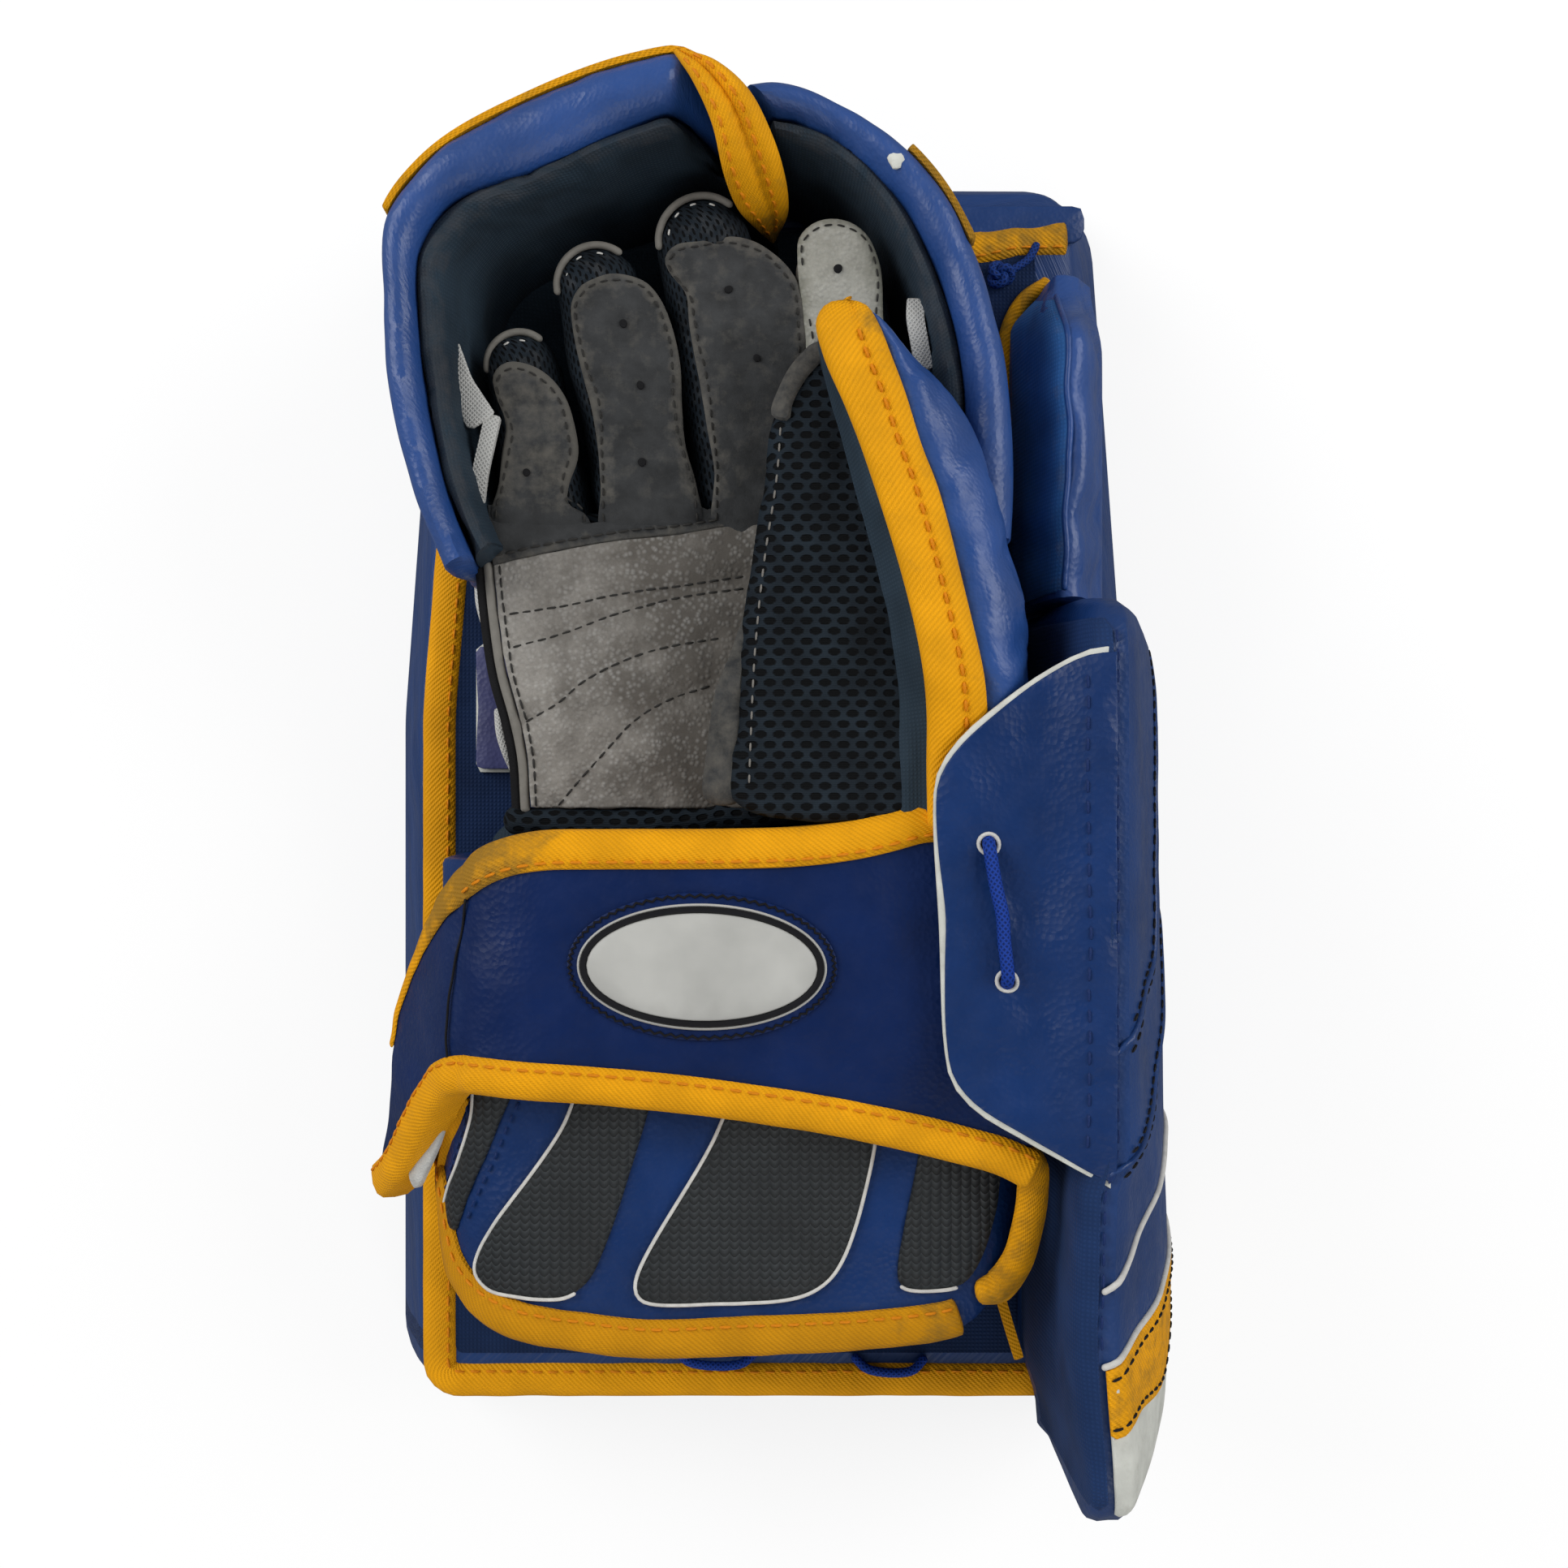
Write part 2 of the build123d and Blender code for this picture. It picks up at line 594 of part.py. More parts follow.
thumb_layers = {
    "stall": stall_shape(),
    "guard_pad": guard_pad_shape(),
    "guard_lining": slab(guard_lining_plan, THUMB_LOW, LINING_TOP),
    "guard_binding": slab(binding_plan, THUMB_BINDING_LOW, THUMB_BINDING_TOP),
}
for layer_name, layer in thumb_layers.items():
    with BuildPart() as moving_layer:
        add(layer)
        split(bisect_by=Plane.XZ.offset(-THUMB_HINGE_Y), keep=Keep.BOTTOM)
    save(moving_layer.part, f"thumb_{layer_name}")

# The same layers carry on below the hinge line, sewn in under the lace flap.
flap_room = outline((80, 36.6), (51.4, 20.4), (37.8, 6), (36.6, -4), (38, -40), (80, -40),
                    radius=[0, 12, 8, 8, 0, 0])
root_room = outline((-20, -30), (80, -30), (80, THUMB_HINGE_Y - THUMB_GAP),
                    (-20, THUMB_HINGE_Y - THUMB_GAP), radius=0)
for layer_name, layer in thumb_layers.items():
    with BuildPart() as root_layer:
        add(layer)
        add(slab(root_room, 0, FAR), mode=Mode.INTERSECT)
        add(slab(flap_room, FLAP_LOW - 0.4, FAR), mode=Mode.SUBTRACT)
    save(root_layer.part, f"thumb_{layer_name}_root")


# ---------------------------------------------------------------- wrist cuff
CUFF_PATH = [(-78, PANEL_TOP), (-78, 66), (-62, 83), (0, 87.5), (48, 86), (63, 77),
             (63, PANEL_TOP)]
CUFF_ROUNDING = 10
CUFF_PLAN = [(-90, CUFF_HIGH), (-78.5, -98), (-76, -113), (-68, -122.5), (-55, -128),
             (-26, CUFF_LOW), (12, -130.5), (46.5, -127.5), (58, -118), (65, -100),
             (70, CUFF_HIGH)]
CUFF_PLAN_CORNERS = [1, 10, 8, 10, 12, 30, 30, 5, 8, 10, 1]
PANEL_PROUD = 0.8


def cuff_shell(near, far, side=Side.RIGHT):
    with BuildPart() as shell:
        add(bar(band(CUFF_PATH, CUFF_ROUNDING, near, far, side), CUFF_LOW - 5, CUFF_HIGH))
        with BuildSketch(Plane.XY):
            add(outline(*CUFF_PLAN, radius=CUFF_PLAN_CORNERS))
        extrude(amount=FAR, mode=Mode.INTERSECT)
    return shell.part


CUFF_EDGE = CUFF_PLAN[1:8]
cuff_rim = band(CUFF_EDGE, 8, 0, 8, side=Side.LEFT)
cuff_side_rim = outline((58, -118.6), (49, -124.5), (43.5, -118), (50, -113.5), (56, -103),
                        (56, -88), (66, -88), (65.5, -101), radius=[4, 3, 2, 6, 12, 1, 1, 12])

with BuildPart() as wrist_cuff:
    add(cuff_shell(0, CUFF_THICK))
save(wrist_cuff.part, "wrist_cuff")

with BuildPart() as cuff_binding:
    add(bar(band(CUFF_PATH, CUFF_ROUNDING, 0, 2.4, Side.LEFT), CUFF_LOW - 5, CUFF_HIGH))
    add(slab(cuff_side_rim, 76, FAR), mode=Mode.INTERSECT)
    add(cuff_shell(0, 1.6, Side.LEFT) & slab(cuff_rim, 60, FAR))
save(cuff_binding.part, "cuff_binding")

CUFF_PANELS = [
    [(-73, -104), (-64, -60), (-55, -60), (-70.5, -101.5)],
    [(-40, -60), (-66.5, -112), (-59, -116.5), (-44, -116.5), (-36, -105), (-22, -60)],
    [(-4, -60), (-29, -114), (-26, -117.5), (9, -115.5), (18, -108), (29, -60)],
    [(40, -60), (31.5, -113), (47, -113), (54.5, -92), (54.5, -60)],
]
PANEL_CORNERS = [[0.8] * 4, [2, 5, 4, 6, 6, 2], [2, 3, 3, 7, 6, 2], [1, 1.5, 4, 3, 1]]
with BuildPart() as cuff_mesh_panels:
    for corners, radii in zip(CUFF_PANELS, PANEL_CORNERS):
        with BuildSketch(Plane.XY.offset(60)):
            add(outline(*corners, radius=radii))
    extrude(amount=60)
    add(cuff_shell(0, PANEL_PROUD, Side.LEFT), mode=Mode.INTERSECT)
    add(cuff_binding.part, mode=Mode.SUBTRACT)
save(cuff_mesh_panels.part, "cuff_mesh_panels")

LOOP_TAPE_ROOM = outline((-90, -96), (-70, -96), (-70, -40), (-90, -40), radius=0)
with BuildPart() as loop_tape:
    add(cuff_shell(0, 1.2, Side.LEFT))
    add(slab(LOOP_TAPE_ROOM, 42, 60), mode=Mode.INTERSECT)
save(loop_tape.part, "loop_tape")


# ---------------------------------------------------------------- wrist strap
STRAP_PATH = [(-96, 55), (-73, 87), (-59, STRAP_TOP), (71.2, STRAP_TOP)]
STRAP_ROUNDING = 18
STRAP_PLAN = [(71.2, -4), (28, -5), (15, -8), (-7, -9.5), (-54, -10.5), (-66, -15.5),
              (-77, -26), (-86, -42), (-91, -62), (-93.5, -87), (-97.5, -99), (-92, -101.5),
              (-86, -94), (-79.5, -83), (-69, -70.5), (-43.5, -70.5), (-7, -73.5),
              (36, -79.5), (71.2, -90)]
STRAP_CORNERS = [0.5, 20, 20, 60, 12, 12, 12, 20, 30, 8, 2, 3, 12, 12, 10, 20, 60, 30, 0.5]
# The blue face between the two bindings.
FACE_PLAN = [(71.2, -10), (36, -10.5), (26, -14.5), (-7, -16.5), (-43, -17), (-60, -18.5),
             (-69, -24.5), (-98, -28), (-98, -93.5), (-92.5, -88), (-86, -73), (-76, -60.5),
             (-66, -57.5), (-43.5, -59.5), (-7, -64), (36, -71), (71.2, -80)]
FACE_CORNERS = [0.5, 8, 10, 40, 40, 10, 8, 2, 2, 10, 20, 10, 10, 30, 60, 30, 0.5]
BINDING_PROUD = 0.8


def strap_shape(thickness, plan, proud=0):
    """Strap section laid over the wrist, cut to the given plan."""
    with BuildPart() as strap:
        add(bar(band(STRAP_PATH, STRAP_ROUNDING, 0, thickness), -120, 10))
        if proud > 0:
            add(bar(band(STRAP_PATH, STRAP_ROUNDING, 0, proud, Side.LEFT), -120, 10))
        with BuildSketch(Plane.XY):
            add(plan)
        extrude(amount=FAR, mode=Mode.INTERSECT)
    return strap.part


strap_plan = outline(*STRAP_PLAN, radius=STRAP_CORNERS)
face_plan = outline(*FACE_PLAN, radius=FACE_CORNERS)
with BuildSketch() as strap_face:
    add(strap_plan)
    add(face_plan, mode=Mode.INTERSECT)
with BuildSketch() as strap_edges:
    add(strap_plan)
    add(face_plan, mode=Mode.SUBTRACT)
strap_layers = {
    "strap": strap_shape(STRAP_THICK, strap_face.sketch),
    "strap_binding": strap_shape(STRAP_THICK, strap_edges.sketch, BINDING_PROUD),
}
for layer_name, layer in strap_layers.items():
    with BuildPart() as moving_layer:
        add(layer)
        split(bisect_by=Plane.YZ.offset(STRAP_HINGE_X), keep=Keep.BOTTOM)
    save(moving_layer.part, f"wrist_{layer_name}")

root_side = outline((STRAP_HINGE_X + STRAP_GAP, -120), (100, -120), (100, 20),
                    (STRAP_HINGE_X + STRAP_GAP, 20), radius=0)
for layer_name, layer in strap_layers.items():
    with BuildPart() as root_layer:
        add(layer)
        add(slab(root_side, 0, FAR), mode=Mode.INTERSECT)
    save(root_layer.part, f"{layer_name}_root")

hook_tape_plan = outline((-98, -88), (-81.5, -76), (-81.5, -42), (-98, -50), radius=2)
with BuildPart() as hook_tape:
    add(bar(band(STRAP_PATH, STRAP_ROUNDING, STRAP_THICK, STRAP_THICK + 1.4), -120, 10))
    with BuildSketch(Plane.XY):
        add(hook_tape_plan)
    extrude(amount=FAR, mode=Mode.INTERSECT)
save(hook_tape.part, "hook_tape")

BADGE_CENTRE = (-13, -39)
BADGE_TILT = -1
BADGE_HALF_LENGTH, BADGE_HALF_WIDTH = 27.2, 13.5


def badge_oval(margin):
    with BuildSketch() as oval:
        Ellipse(BADGE_HALF_LENGTH + margin, BADGE_HALF_WIDTH + margin, rotation=BADGE_TILT)
    return oval.sketch.moved(Location((*BADGE_CENTRE, 0)))


BACKING = 0.8
with BuildPart() as badge_backing:
    add(slab(badge_oval(2.2), STRAP_TOP, STRAP_TOP + BACKING))
save(badge_backing.part, "badge_backing")

with BuildPart() as badge_ring:
    with BuildSketch(Plane.XY.offset(STRAP_TOP + BACKING)):
        add(badge_oval(0))
        add(badge_oval(-1.6), mode=Mode.SUBTRACT)
    extrude(amount=1.6)
save(badge_ring.part, "badge_ring")

with BuildPart() as badge_plate:
    add(slab(badge_oval(-1.7), STRAP_TOP + BACKING, STRAP_TOP + BACKING + 2))
    fillet(faces().sort_by(Axis.Z)[-1].edges(), radius=0.8)
save(badge_plate.part, "badge_plate")


# ---------------------------------------------------------------- laces and tabs
# Elastic tabs that hold the outer fingers to the guards' linings, and the pinky's lace.
TABS = [[(-72.7, 113), (-68.4, 94), (-71.4, 90), (-72.7, 104)],
        [(-68.8, 91), (-67, 91), (-65.6, 70), (-66.9, 70)],
        [(32.6, 114), (31.3, 110), (31.6, 105), (34.2, 104)]]
with BuildPart() as elastic_tabs:
    for corners in TABS:
        with BuildSketch(Plane.XY.offset(53)):
            add(outline(*corners, radius=0.7))
    extrude(amount=10)
save(elastic_tabs.part, "elastic_tabs")

PALM_LACES = [[(-72, 50), (-68.5, 38)], [(-66.8, 19), (-63.2, 6)]]
with BuildPart() as palm_laces:
    for (x0, y0), (x1, y1) in PALM_LACES:
        with BuildSketch(Plane.XY.offset(44)):
            add(outline((x0 - 1.2, y0), (x0 + 1.2, y0), (x1 + 1.2, y1), (x1 - 1.2, y1),
                        radius=0.6))
    extrude(amount=12)
save(palm_laces.part, "palm_laces")

KNOT_CENTRE = (61, 133)
with BuildPart() as board_lace_knot:
    with BuildSketch(Plane.XY.offset(PANEL_TOP)):
        with Locations(KNOT_CENTRE):
            Circle(4)
            Circle(1.4, mode=Mode.SUBTRACT)
    extrude(amount=4)
    fillet(faces().sort_by(Axis.Z)[-1].edges(), radius=1)
save(board_lace_knot.part, "board_lace_knot")
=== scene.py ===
import json
import math

import bmesh
import bpy
import numpy as np
from mathutils.geometry import delaunay_2d_cdt
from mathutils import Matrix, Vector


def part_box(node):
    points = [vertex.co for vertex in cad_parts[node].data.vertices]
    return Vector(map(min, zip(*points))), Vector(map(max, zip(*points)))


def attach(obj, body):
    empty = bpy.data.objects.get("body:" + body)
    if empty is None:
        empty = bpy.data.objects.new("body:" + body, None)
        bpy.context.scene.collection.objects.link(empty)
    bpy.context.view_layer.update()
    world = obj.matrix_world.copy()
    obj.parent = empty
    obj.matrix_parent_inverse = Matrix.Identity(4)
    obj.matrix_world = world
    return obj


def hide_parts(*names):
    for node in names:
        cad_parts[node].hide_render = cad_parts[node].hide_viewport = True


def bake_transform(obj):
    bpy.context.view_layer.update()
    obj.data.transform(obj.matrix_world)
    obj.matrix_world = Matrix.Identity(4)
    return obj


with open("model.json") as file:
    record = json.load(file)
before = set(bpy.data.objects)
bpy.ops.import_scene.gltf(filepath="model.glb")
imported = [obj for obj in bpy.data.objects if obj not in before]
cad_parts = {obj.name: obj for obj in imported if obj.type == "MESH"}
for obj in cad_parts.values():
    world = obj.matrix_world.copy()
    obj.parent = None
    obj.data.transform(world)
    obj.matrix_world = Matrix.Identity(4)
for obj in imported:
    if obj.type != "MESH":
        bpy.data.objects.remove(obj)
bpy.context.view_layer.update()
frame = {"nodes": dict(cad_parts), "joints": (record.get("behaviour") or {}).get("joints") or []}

# Goalkeeper's blocker, palm side up. Sizes here are millimetres in the shared frame:
# +X the thumb side, +Y the fingertips, +Z the palm side, origin on the board's front face.
MM = 0.001


def corner(node, high=True):
    """A CAD node's highest or lowest corner, in millimetres."""
    return np.array(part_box(node)[1 if high else 0]) / MM


BACK_TOP = corner("board_back_panel")[2]
BINDING_TOP = corner("board_binding")[2]
GUARD_RIM = corner("finger_guard_cover")[2]
INDEX_RIM = corner("index_guard_cover")[2]
WALL_LOW_Y = corner("side_wall_cover", False)[1]
WALL_HIGH_Y = corner("side_wall_cover")[1]
WALL_RIDGE = corner("side_wall_cover")[2]
FINGER_LOW = corner("middle_stall", False)[2]
THUMB_LOW = corner("thumb_stall", False)[2]
THUMB_TOP = corner("thumb_stall")[2]
THUMB_RIM = corner("thumb_guard_binding")[2]
STRAP_TOP = corner("badge_backing", False)[2]
FLAP_TOP = corner("lace_flap")[2]
HINGES = {joint["child"]: joint for joint in frame["joints"]}


# ---------------------------------------------------------------- lines
def unit(vectors):
    lengths = np.linalg.norm(vectors, axis=-1, keepdims=True)
    return vectors / np.maximum(lengths, 1e-9)


def travelled(line):
    """Length of a line up to each of its points."""
    return np.concatenate([[0], np.cumsum(np.linalg.norm(np.diff(line, axis=0), axis=1))])


def spaced(line, count, closed=False):
    """The same line with evenly spaced points."""
    lengths = travelled(line)
    targets = np.linspace(0, lengths[-1], count, endpoint=not closed)
    return np.stack([np.interp(targets, lengths, line[:, k]) for k in range(line.shape[1])], 1)


def curve(points, count, closed=False):
    """Evenly spaced points on a smooth curve through the given ones."""
    p = np.array(points, float)
    if closed:
        p = np.vstack([p[-1], p, p[0], p[1]])
    else:
        p = np.vstack([2 * p[0] - p[1], p, 2 * p[-1] - p[-2]])
    dense = []
    for a, b, c, d in zip(p, p[1:], p[2:], p[3:]):
        steps = [max(np.linalg.norm(v - u), 1e-6) ** 0.5 for u, v in ((a, b), (b, c), (c, d))]
        k = np.cumsum([0, *steps])
        t = np.linspace(k[1], k[2], 16, endpoint=False)[:, None]

        def mixed(u, v, i, j):
            return (u * (k[j] - t) + v * (t - k[i])) / (k[j] - k[i])

        ab, bc, cd = mixed(a, b, 0, 1), mixed(b, c, 1, 2), mixed(c, d, 2, 3)
        dense.append(mixed(mixed(ab, bc, 0, 2), mixed(bc, cd, 1, 3), 1, 2))
    return spaced(np.vstack([*dense, p[-2]]), count, closed)


def rounded(corners, radii, arc=6, side=8):
    """Closed outline with straight sides and rounded corners, always with as many points."""
    c = np.array(corners, float)
    arcs = []
    for i, here in enumerate(c):
        back, ahead = unit(c[i - 1] - here), unit(c[(i + 1) % len(c)] - here)
        half = math.acos(np.clip(back @ ahead, -1, 1)) / 2
        room = 0.48 * min(np.linalg.norm(c[i - 1] - here), np.linalg.norm(c[(i + 1) % len(c)] - here))
        reach = min(radii[i] / math.tan(half), room)
        radius = reach * math.tan(half)
        centre = here + unit(back + ahead) * radius / math.sin(half)
        first = math.atan2(*(here + back * reach - centre)[::-1])
        last = math.atan2(*(here + ahead * reach - centre)[::-1])
        turn = (last - first + math.pi) % (2 * math.pi) - math.pi
        angles = first + turn * np.linspace(0, 1, arc + 1)
        arcs.append(centre + radius * np.stack([np.cos(angles), np.sin(angles)], 1))
    shares = np.linspace(0, 1, side, endpoint=False)[1:, None]
    line = []
    for here, following in zip(arcs, arcs[1:] + arcs[:1]):
        line += [here, here[-1] * (1 - shares) + following[0] * shares]
    return np.vstack(line)


def deep(line, height):
    """A plan line at a height."""
    return np.column_stack([line[:, :2], np.full(len(line), float(height))])


def between(a, b, share):
    """The line that runs a share of the way from one line to the other."""
    return a + (b - a) * share


def heading(line, closed=False):
    """The direction of travel at each of a line's points."""
    return unit(np.roll(line, -1, 0) - np.roll(line, 1, 0) if closed else np.gradient(line, axis=0))


def rightward(ahead):
    return np.column_stack([ahead[:, 1], -ahead[:, 0]])


def beside(line, distance):
    """A plan line moved to the right of its direction."""
    moved = line.copy()
    moved[:, :2] += rightward(heading(line)) * distance
    return moved


def smooth(low, high, values):
    share = np.clip((values - low) / (high - low), 0, 1)
    return share * share * (3 - 2 * share)


def ripples(points, size, seed=1):
    """Smooth noise from -1 to 1 whose features are about a size across."""
    rng = np.random.default_rng(seed)
    total = np.zeros(points.shape[:-1])
    for _ in range(14):
        direction = unit(rng.normal(size=points.shape[-1])) * rng.uniform(0.6, 1.6)
        total += np.sin(points @ direction * 2 * math.pi / size + rng.uniform(0, 2 * math.pi))
    return total / 6


# ---------------------------------------------------------------- surfaces to lay things on
class Bent:
    """A flat pattern bent over a profile in X-Z: pattern points are (along the profile, Y)."""

    def __init__(self, profile, count=400):
        self.line = curve(profile, count)
        self.lengths = travelled(self.line)
        self.normal = -rightward(heading(self.line))

    def along(self, x):
        return np.interp(x, self.line[:, 0], self.lengths)

    def pattern(self, plan):
        plan = np.array(plan, float)
        return np.column_stack([self.along(plan[:, 0]), plan[:, 1]])

    def __call__(self, flat, lift=0.0):
        x, z = (np.interp(flat[..., 0], self.lengths, self.line[:, k]) for k in (0, 1))
        nx, nz = (np.interp(flat[..., 0], self.lengths, self.normal[:, k]) for k in (0, 1))
        return np.stack([x + nx * lift, flat[..., 1] + 0 * x, z + nz * lift], -1)


def extruded(ring, low, high, step):
    """Rings of a section in X-Z, carried along Y."""
    return np.array([np.column_stack([ring[:, 0], np.full(len(ring), y), ring[:, 1]])
                     for y in np.arange(low, high + 0.1, step)])


class Over:
    """A surface given by its height over the plan."""

    def __init__(self, height):
        self.height = height

    def pattern(self, plan):
        return np.array(plan, float)

    def __call__(self, flat, lift=0.0):
        step = 0.2
        rise = [(self.height(flat + d) - self.height(flat - d)) / (2 * step)
                for d in (np.array([step, 0]), np.array([0, step]))]
        normal = unit(np.stack([-rise[0], -rise[1], np.ones_like(rise[0])], -1))
        points = np.concatenate([flat, self.height(flat)[..., None]], -1)
        return points + normal * np.asarray(lift)[..., None]


def level(height):
    return Over(lambda p: np.full(p.shape[:-1], float(height)))


# ---------------------------------------------------------------- meshes
def make(name, points, faces, look, run=None, wear=None, crease=50):
    """A closed mesh from points in millimetres, with what its material reads stored on it."""
    points = np.asarray(points, float).reshape(-1, 3)
    mesh = bpy.data.meshes.new(name)
    mesh.from_pydata((points * MM).tolist(), [], faces)
    run = points if run is None else np.asarray(run, float).reshape(-1, 3)
    mesh.attributes.new("run", "FLOAT_VECTOR", "POINT").data.foreach_set("vector", run.ravel())
    if wear is not None:
        worn = np.clip(wear(points) if callable(wear) else np.full(len(points), wear), 0, 1)
        mesh.attributes.new("wear", "FLOAT", "POINT").data.foreach_set("value", worn.ravel())
    shape = bmesh.new()
    shape.from_mesh(mesh)
    bmesh.ops.recalc_face_normals(shape, faces=shape.faces)
    shape.to_mesh(mesh)
    shape.free()
    mesh.materials.append(LOOKS[look])
    mesh.shade_smooth()
    mesh.set_sharp_from_angle(angle=math.radians(crease))
    piece = bpy.data.objects.new(name, mesh)
    bpy.context.scene.collection.objects.link(piece)
    return piece


def quads(rows, cols):
    """The faces between closed rings of points."""
    r = np.arange(rows - 1)[:, None]
    c = np.arange(cols)[None, :]
    d = (c + 1) % cols
    corners = [r * cols + c, r * cols + d, (r + 1) * cols + d, (r + 1) * cols + c]
    return np.stack(corners, -1).reshape(-1, 4).tolist()


def domed(grid, reach):
    """Rings added at both ends of a tube so that they close in a dome."""
    rings = []
    for end, inner in ((grid[0], grid[1]), (grid[-1], grid[-2])):
        centre = end.mean(0)
        out = unit(centre - inner.mean(0))
        dome = []
        for angle in np.radians([28, 55, 78]):
            dome.append(centre + (end - centre) * math.cos(angle) + out * reach * math.sin(angle))
        rings.append(np.array(dome))
    return np.concatenate([rings[0][::-1], grid, rings[1]])


def tube_mesh(grid, dome=None, loop=False):
    """Points, faces and run of a closed tube from its rings, n x m x 3."""
    if dome is not None and not loop:
        grid = domed(grid, dome)
    rows, cols = grid.shape[:2]
    along = travelled(grid.mean(1))
    across = np.concatenate([np.zeros((rows, 1)), np.cumsum(np.linalg.norm(np.diff(grid, axis=1), axis=2),
                                                            1)], 1)
    run = np.stack([np.repeat(along[:, None], cols, 1), across, np.zeros((rows, cols))], -1)
    points, run = grid.reshape(-1, 3), run.reshape(-1, 3)
    faces = quads(rows, cols)
    last = (rows - 1) * cols
    if loop:
        faces += [[last + c, last + (c + 1) % cols, (c + 1) % cols, c] for c in range(cols)]
        return points, faces, run
    total = len(points)
    points = np.vstack([points, grid[0].mean(0), grid[-1].mean(0)])
    run = np.vstack([run, run[0], run[-1]])
    for c in range(cols):
        faces.append([(c + 1) % cols, c, total])
        faces.append([last + c, last + (c + 1) % cols, total + 1])
    return points, faces, run


def tube(name, grid, look, dome=1.0, loop=False, wear=None, crease=50):
    points, faces, run = tube_mesh(grid, dome, loop)
    return make(name, points, faces, look, run, wear, crease)


def loft(rails, across=4):
    """Rings through rails that run side by side, smooth from each rail to the next."""
    rails = np.array(rails, float)
    rings = np.swapaxes(rails, 0, 1)
    count = across * len(rails)
    return np.array([curve(ring, count, closed=True) for ring in rings])


def swept(path, section, up=(0, 0, 1), closed=False):
    """Rings of a section, as (sideways, up) points, carried along a path."""
    path = np.asarray(path, float)
    ahead = heading(path, closed)
    side = unit(np.cross(ahead, np.broadcast_to(np.array(up, float), path.shape)))
    lift = np.cross(side, ahead)
    section = np.broadcast_to(section, (len(path), *np.shape(section)[-2:]))
    return path[:, None] + side[:, None] * section[..., :1] + lift[:, None] * section[..., 1:]


def turned(count):
    """Evenly spaced angles of one whole turn."""
    return np.linspace(0, 2 * math.pi, count, endpoint=False)


def circle(radius, count=10):
    angles = turned(count)
    return radius * np.stack([np.cos(angles), np.sin(angles)], 1)


def laid(place, line, section, closed=False):
    """Rings of a section laid on a surface; the section is (to the right of the line, lift)."""
    line = np.asarray(line, float)
    right = rightward(heading(line, closed))
    section = np.broadcast_to(np.asarray(section, float), (len(line), *np.shape(section)[-2:]))
    return place(line[:, None] + right[:, None] * section[..., :1], section[..., 1])


def cord(name, path, radius, look, count=10, loop=False, **extra):
    return tube(name, swept(path, circle(radius, count), closed=loop), look, radius, loop, **extra)


def piped(place, line, radius, lift):
    """Rings of a thin cord laid on a surface."""
    return laid(place, line, circle(radius, 8) + [0, lift])


def joined(meshes):
    """Several meshes of points, faces and run put together."""
    points, faces, runs, total = [], [], [], 0
    for more, sides, run in meshes:
        points.append(more)
        runs.append(run)
        faces += [[v + total for v in side] for side in sides]
        total += len(more)
    return np.vstack(points), faces, np.vstack(runs)


def plate_mesh(place, outline, thickness, edge=0.5, spacing=3.0, crown=0.0, reach=8.0, base=0.0,
               floor=None):
    """Solid of a flat outline laid on a surface, with rounded edges and a crowned top; its
    underside follows the surface or lies at the floor's height."""
    line = spaced(np.vstack([outline, outline[:1]]), max(12, int(travelled(outline)[-1] / spacing * 1.6)),
                  True)
    area = np.sum(line[:, 0] * np.roll(line[:, 1], -1) - np.roll(line[:, 0], -1) * line[:, 1])
    if area < 0:
        line = line[::-1]
    inward = -rightward(heading(line, True))
    steps = [(0.0, -1.0), (0.3, -0.3), (1.0, 0.0)]
    rings = [line + inward * edge * inset for inset, _ in steps]
    low, high = line.min(0), line.max(0)
    xs, ys = (np.arange(a + spacing / 2, b, spacing) for a, b in zip(low, high))
    grid = np.stack(np.meshgrid(xs, ys), -1).reshape(-1, 2)
    grid[::2, 1] += spacing * 0.3
    inside = contains(rings[-1], grid)
    gap = nearest(rings[-1], grid)
    grid = grid[inside & (gap > spacing * 0.45)]
    flat = np.vstack([rings[-1], grid])
    count = len(line)
    boundary = [(i, (i + 1) % count) for i in range(count)]
    found = delaunay_2d_cdt([tuple(p) for p in flat], boundary, [list(range(count))], 1, 1e-6, True)
    names = [ids[0] for ids in found[3]]
    cells = np.array([[names[v] for v in face] for face in found[2]])
    cells = cells[contains(rings[-1], flat[cells].mean(1))].tolist()
    depth = nearest(line, flat)
    height = thickness + crown * np.sqrt(np.clip(1 - (1 - np.clip(depth / reach, 0, 1)) ** 2, 0, 1))
    sides = [place(ring, base + thickness + edge * drop) for ring, (_, drop) in zip(rings[:-1], steps)]
    points = [place(line, base), *sides, place(flat, base + height), place(flat, base)]
    if floor is not None:
        points[0][:, 2] = points[-1][:, 2] = floor
    run = [line, *rings[:-1], flat, flat]
    faces = []
    for ring in range(len(sides) + 1):
        start = ring * count
        faces += [[start + i, start + j, start + count + j, start + count + i] for i, j in boundary]
    top = count * (len(sides) + 1)
    under = top + len(flat)
    faces += [[top + v for v in cell] for cell in cells]
    faces += [[under + v for v in cell][::-1] for cell in cells]
    faces += [[i, under + i, under + j, j] for i, j in boundary]
    run = np.vstack(run)
    return np.vstack(points), faces, np.column_stack([run, np.zeros(len(run))])


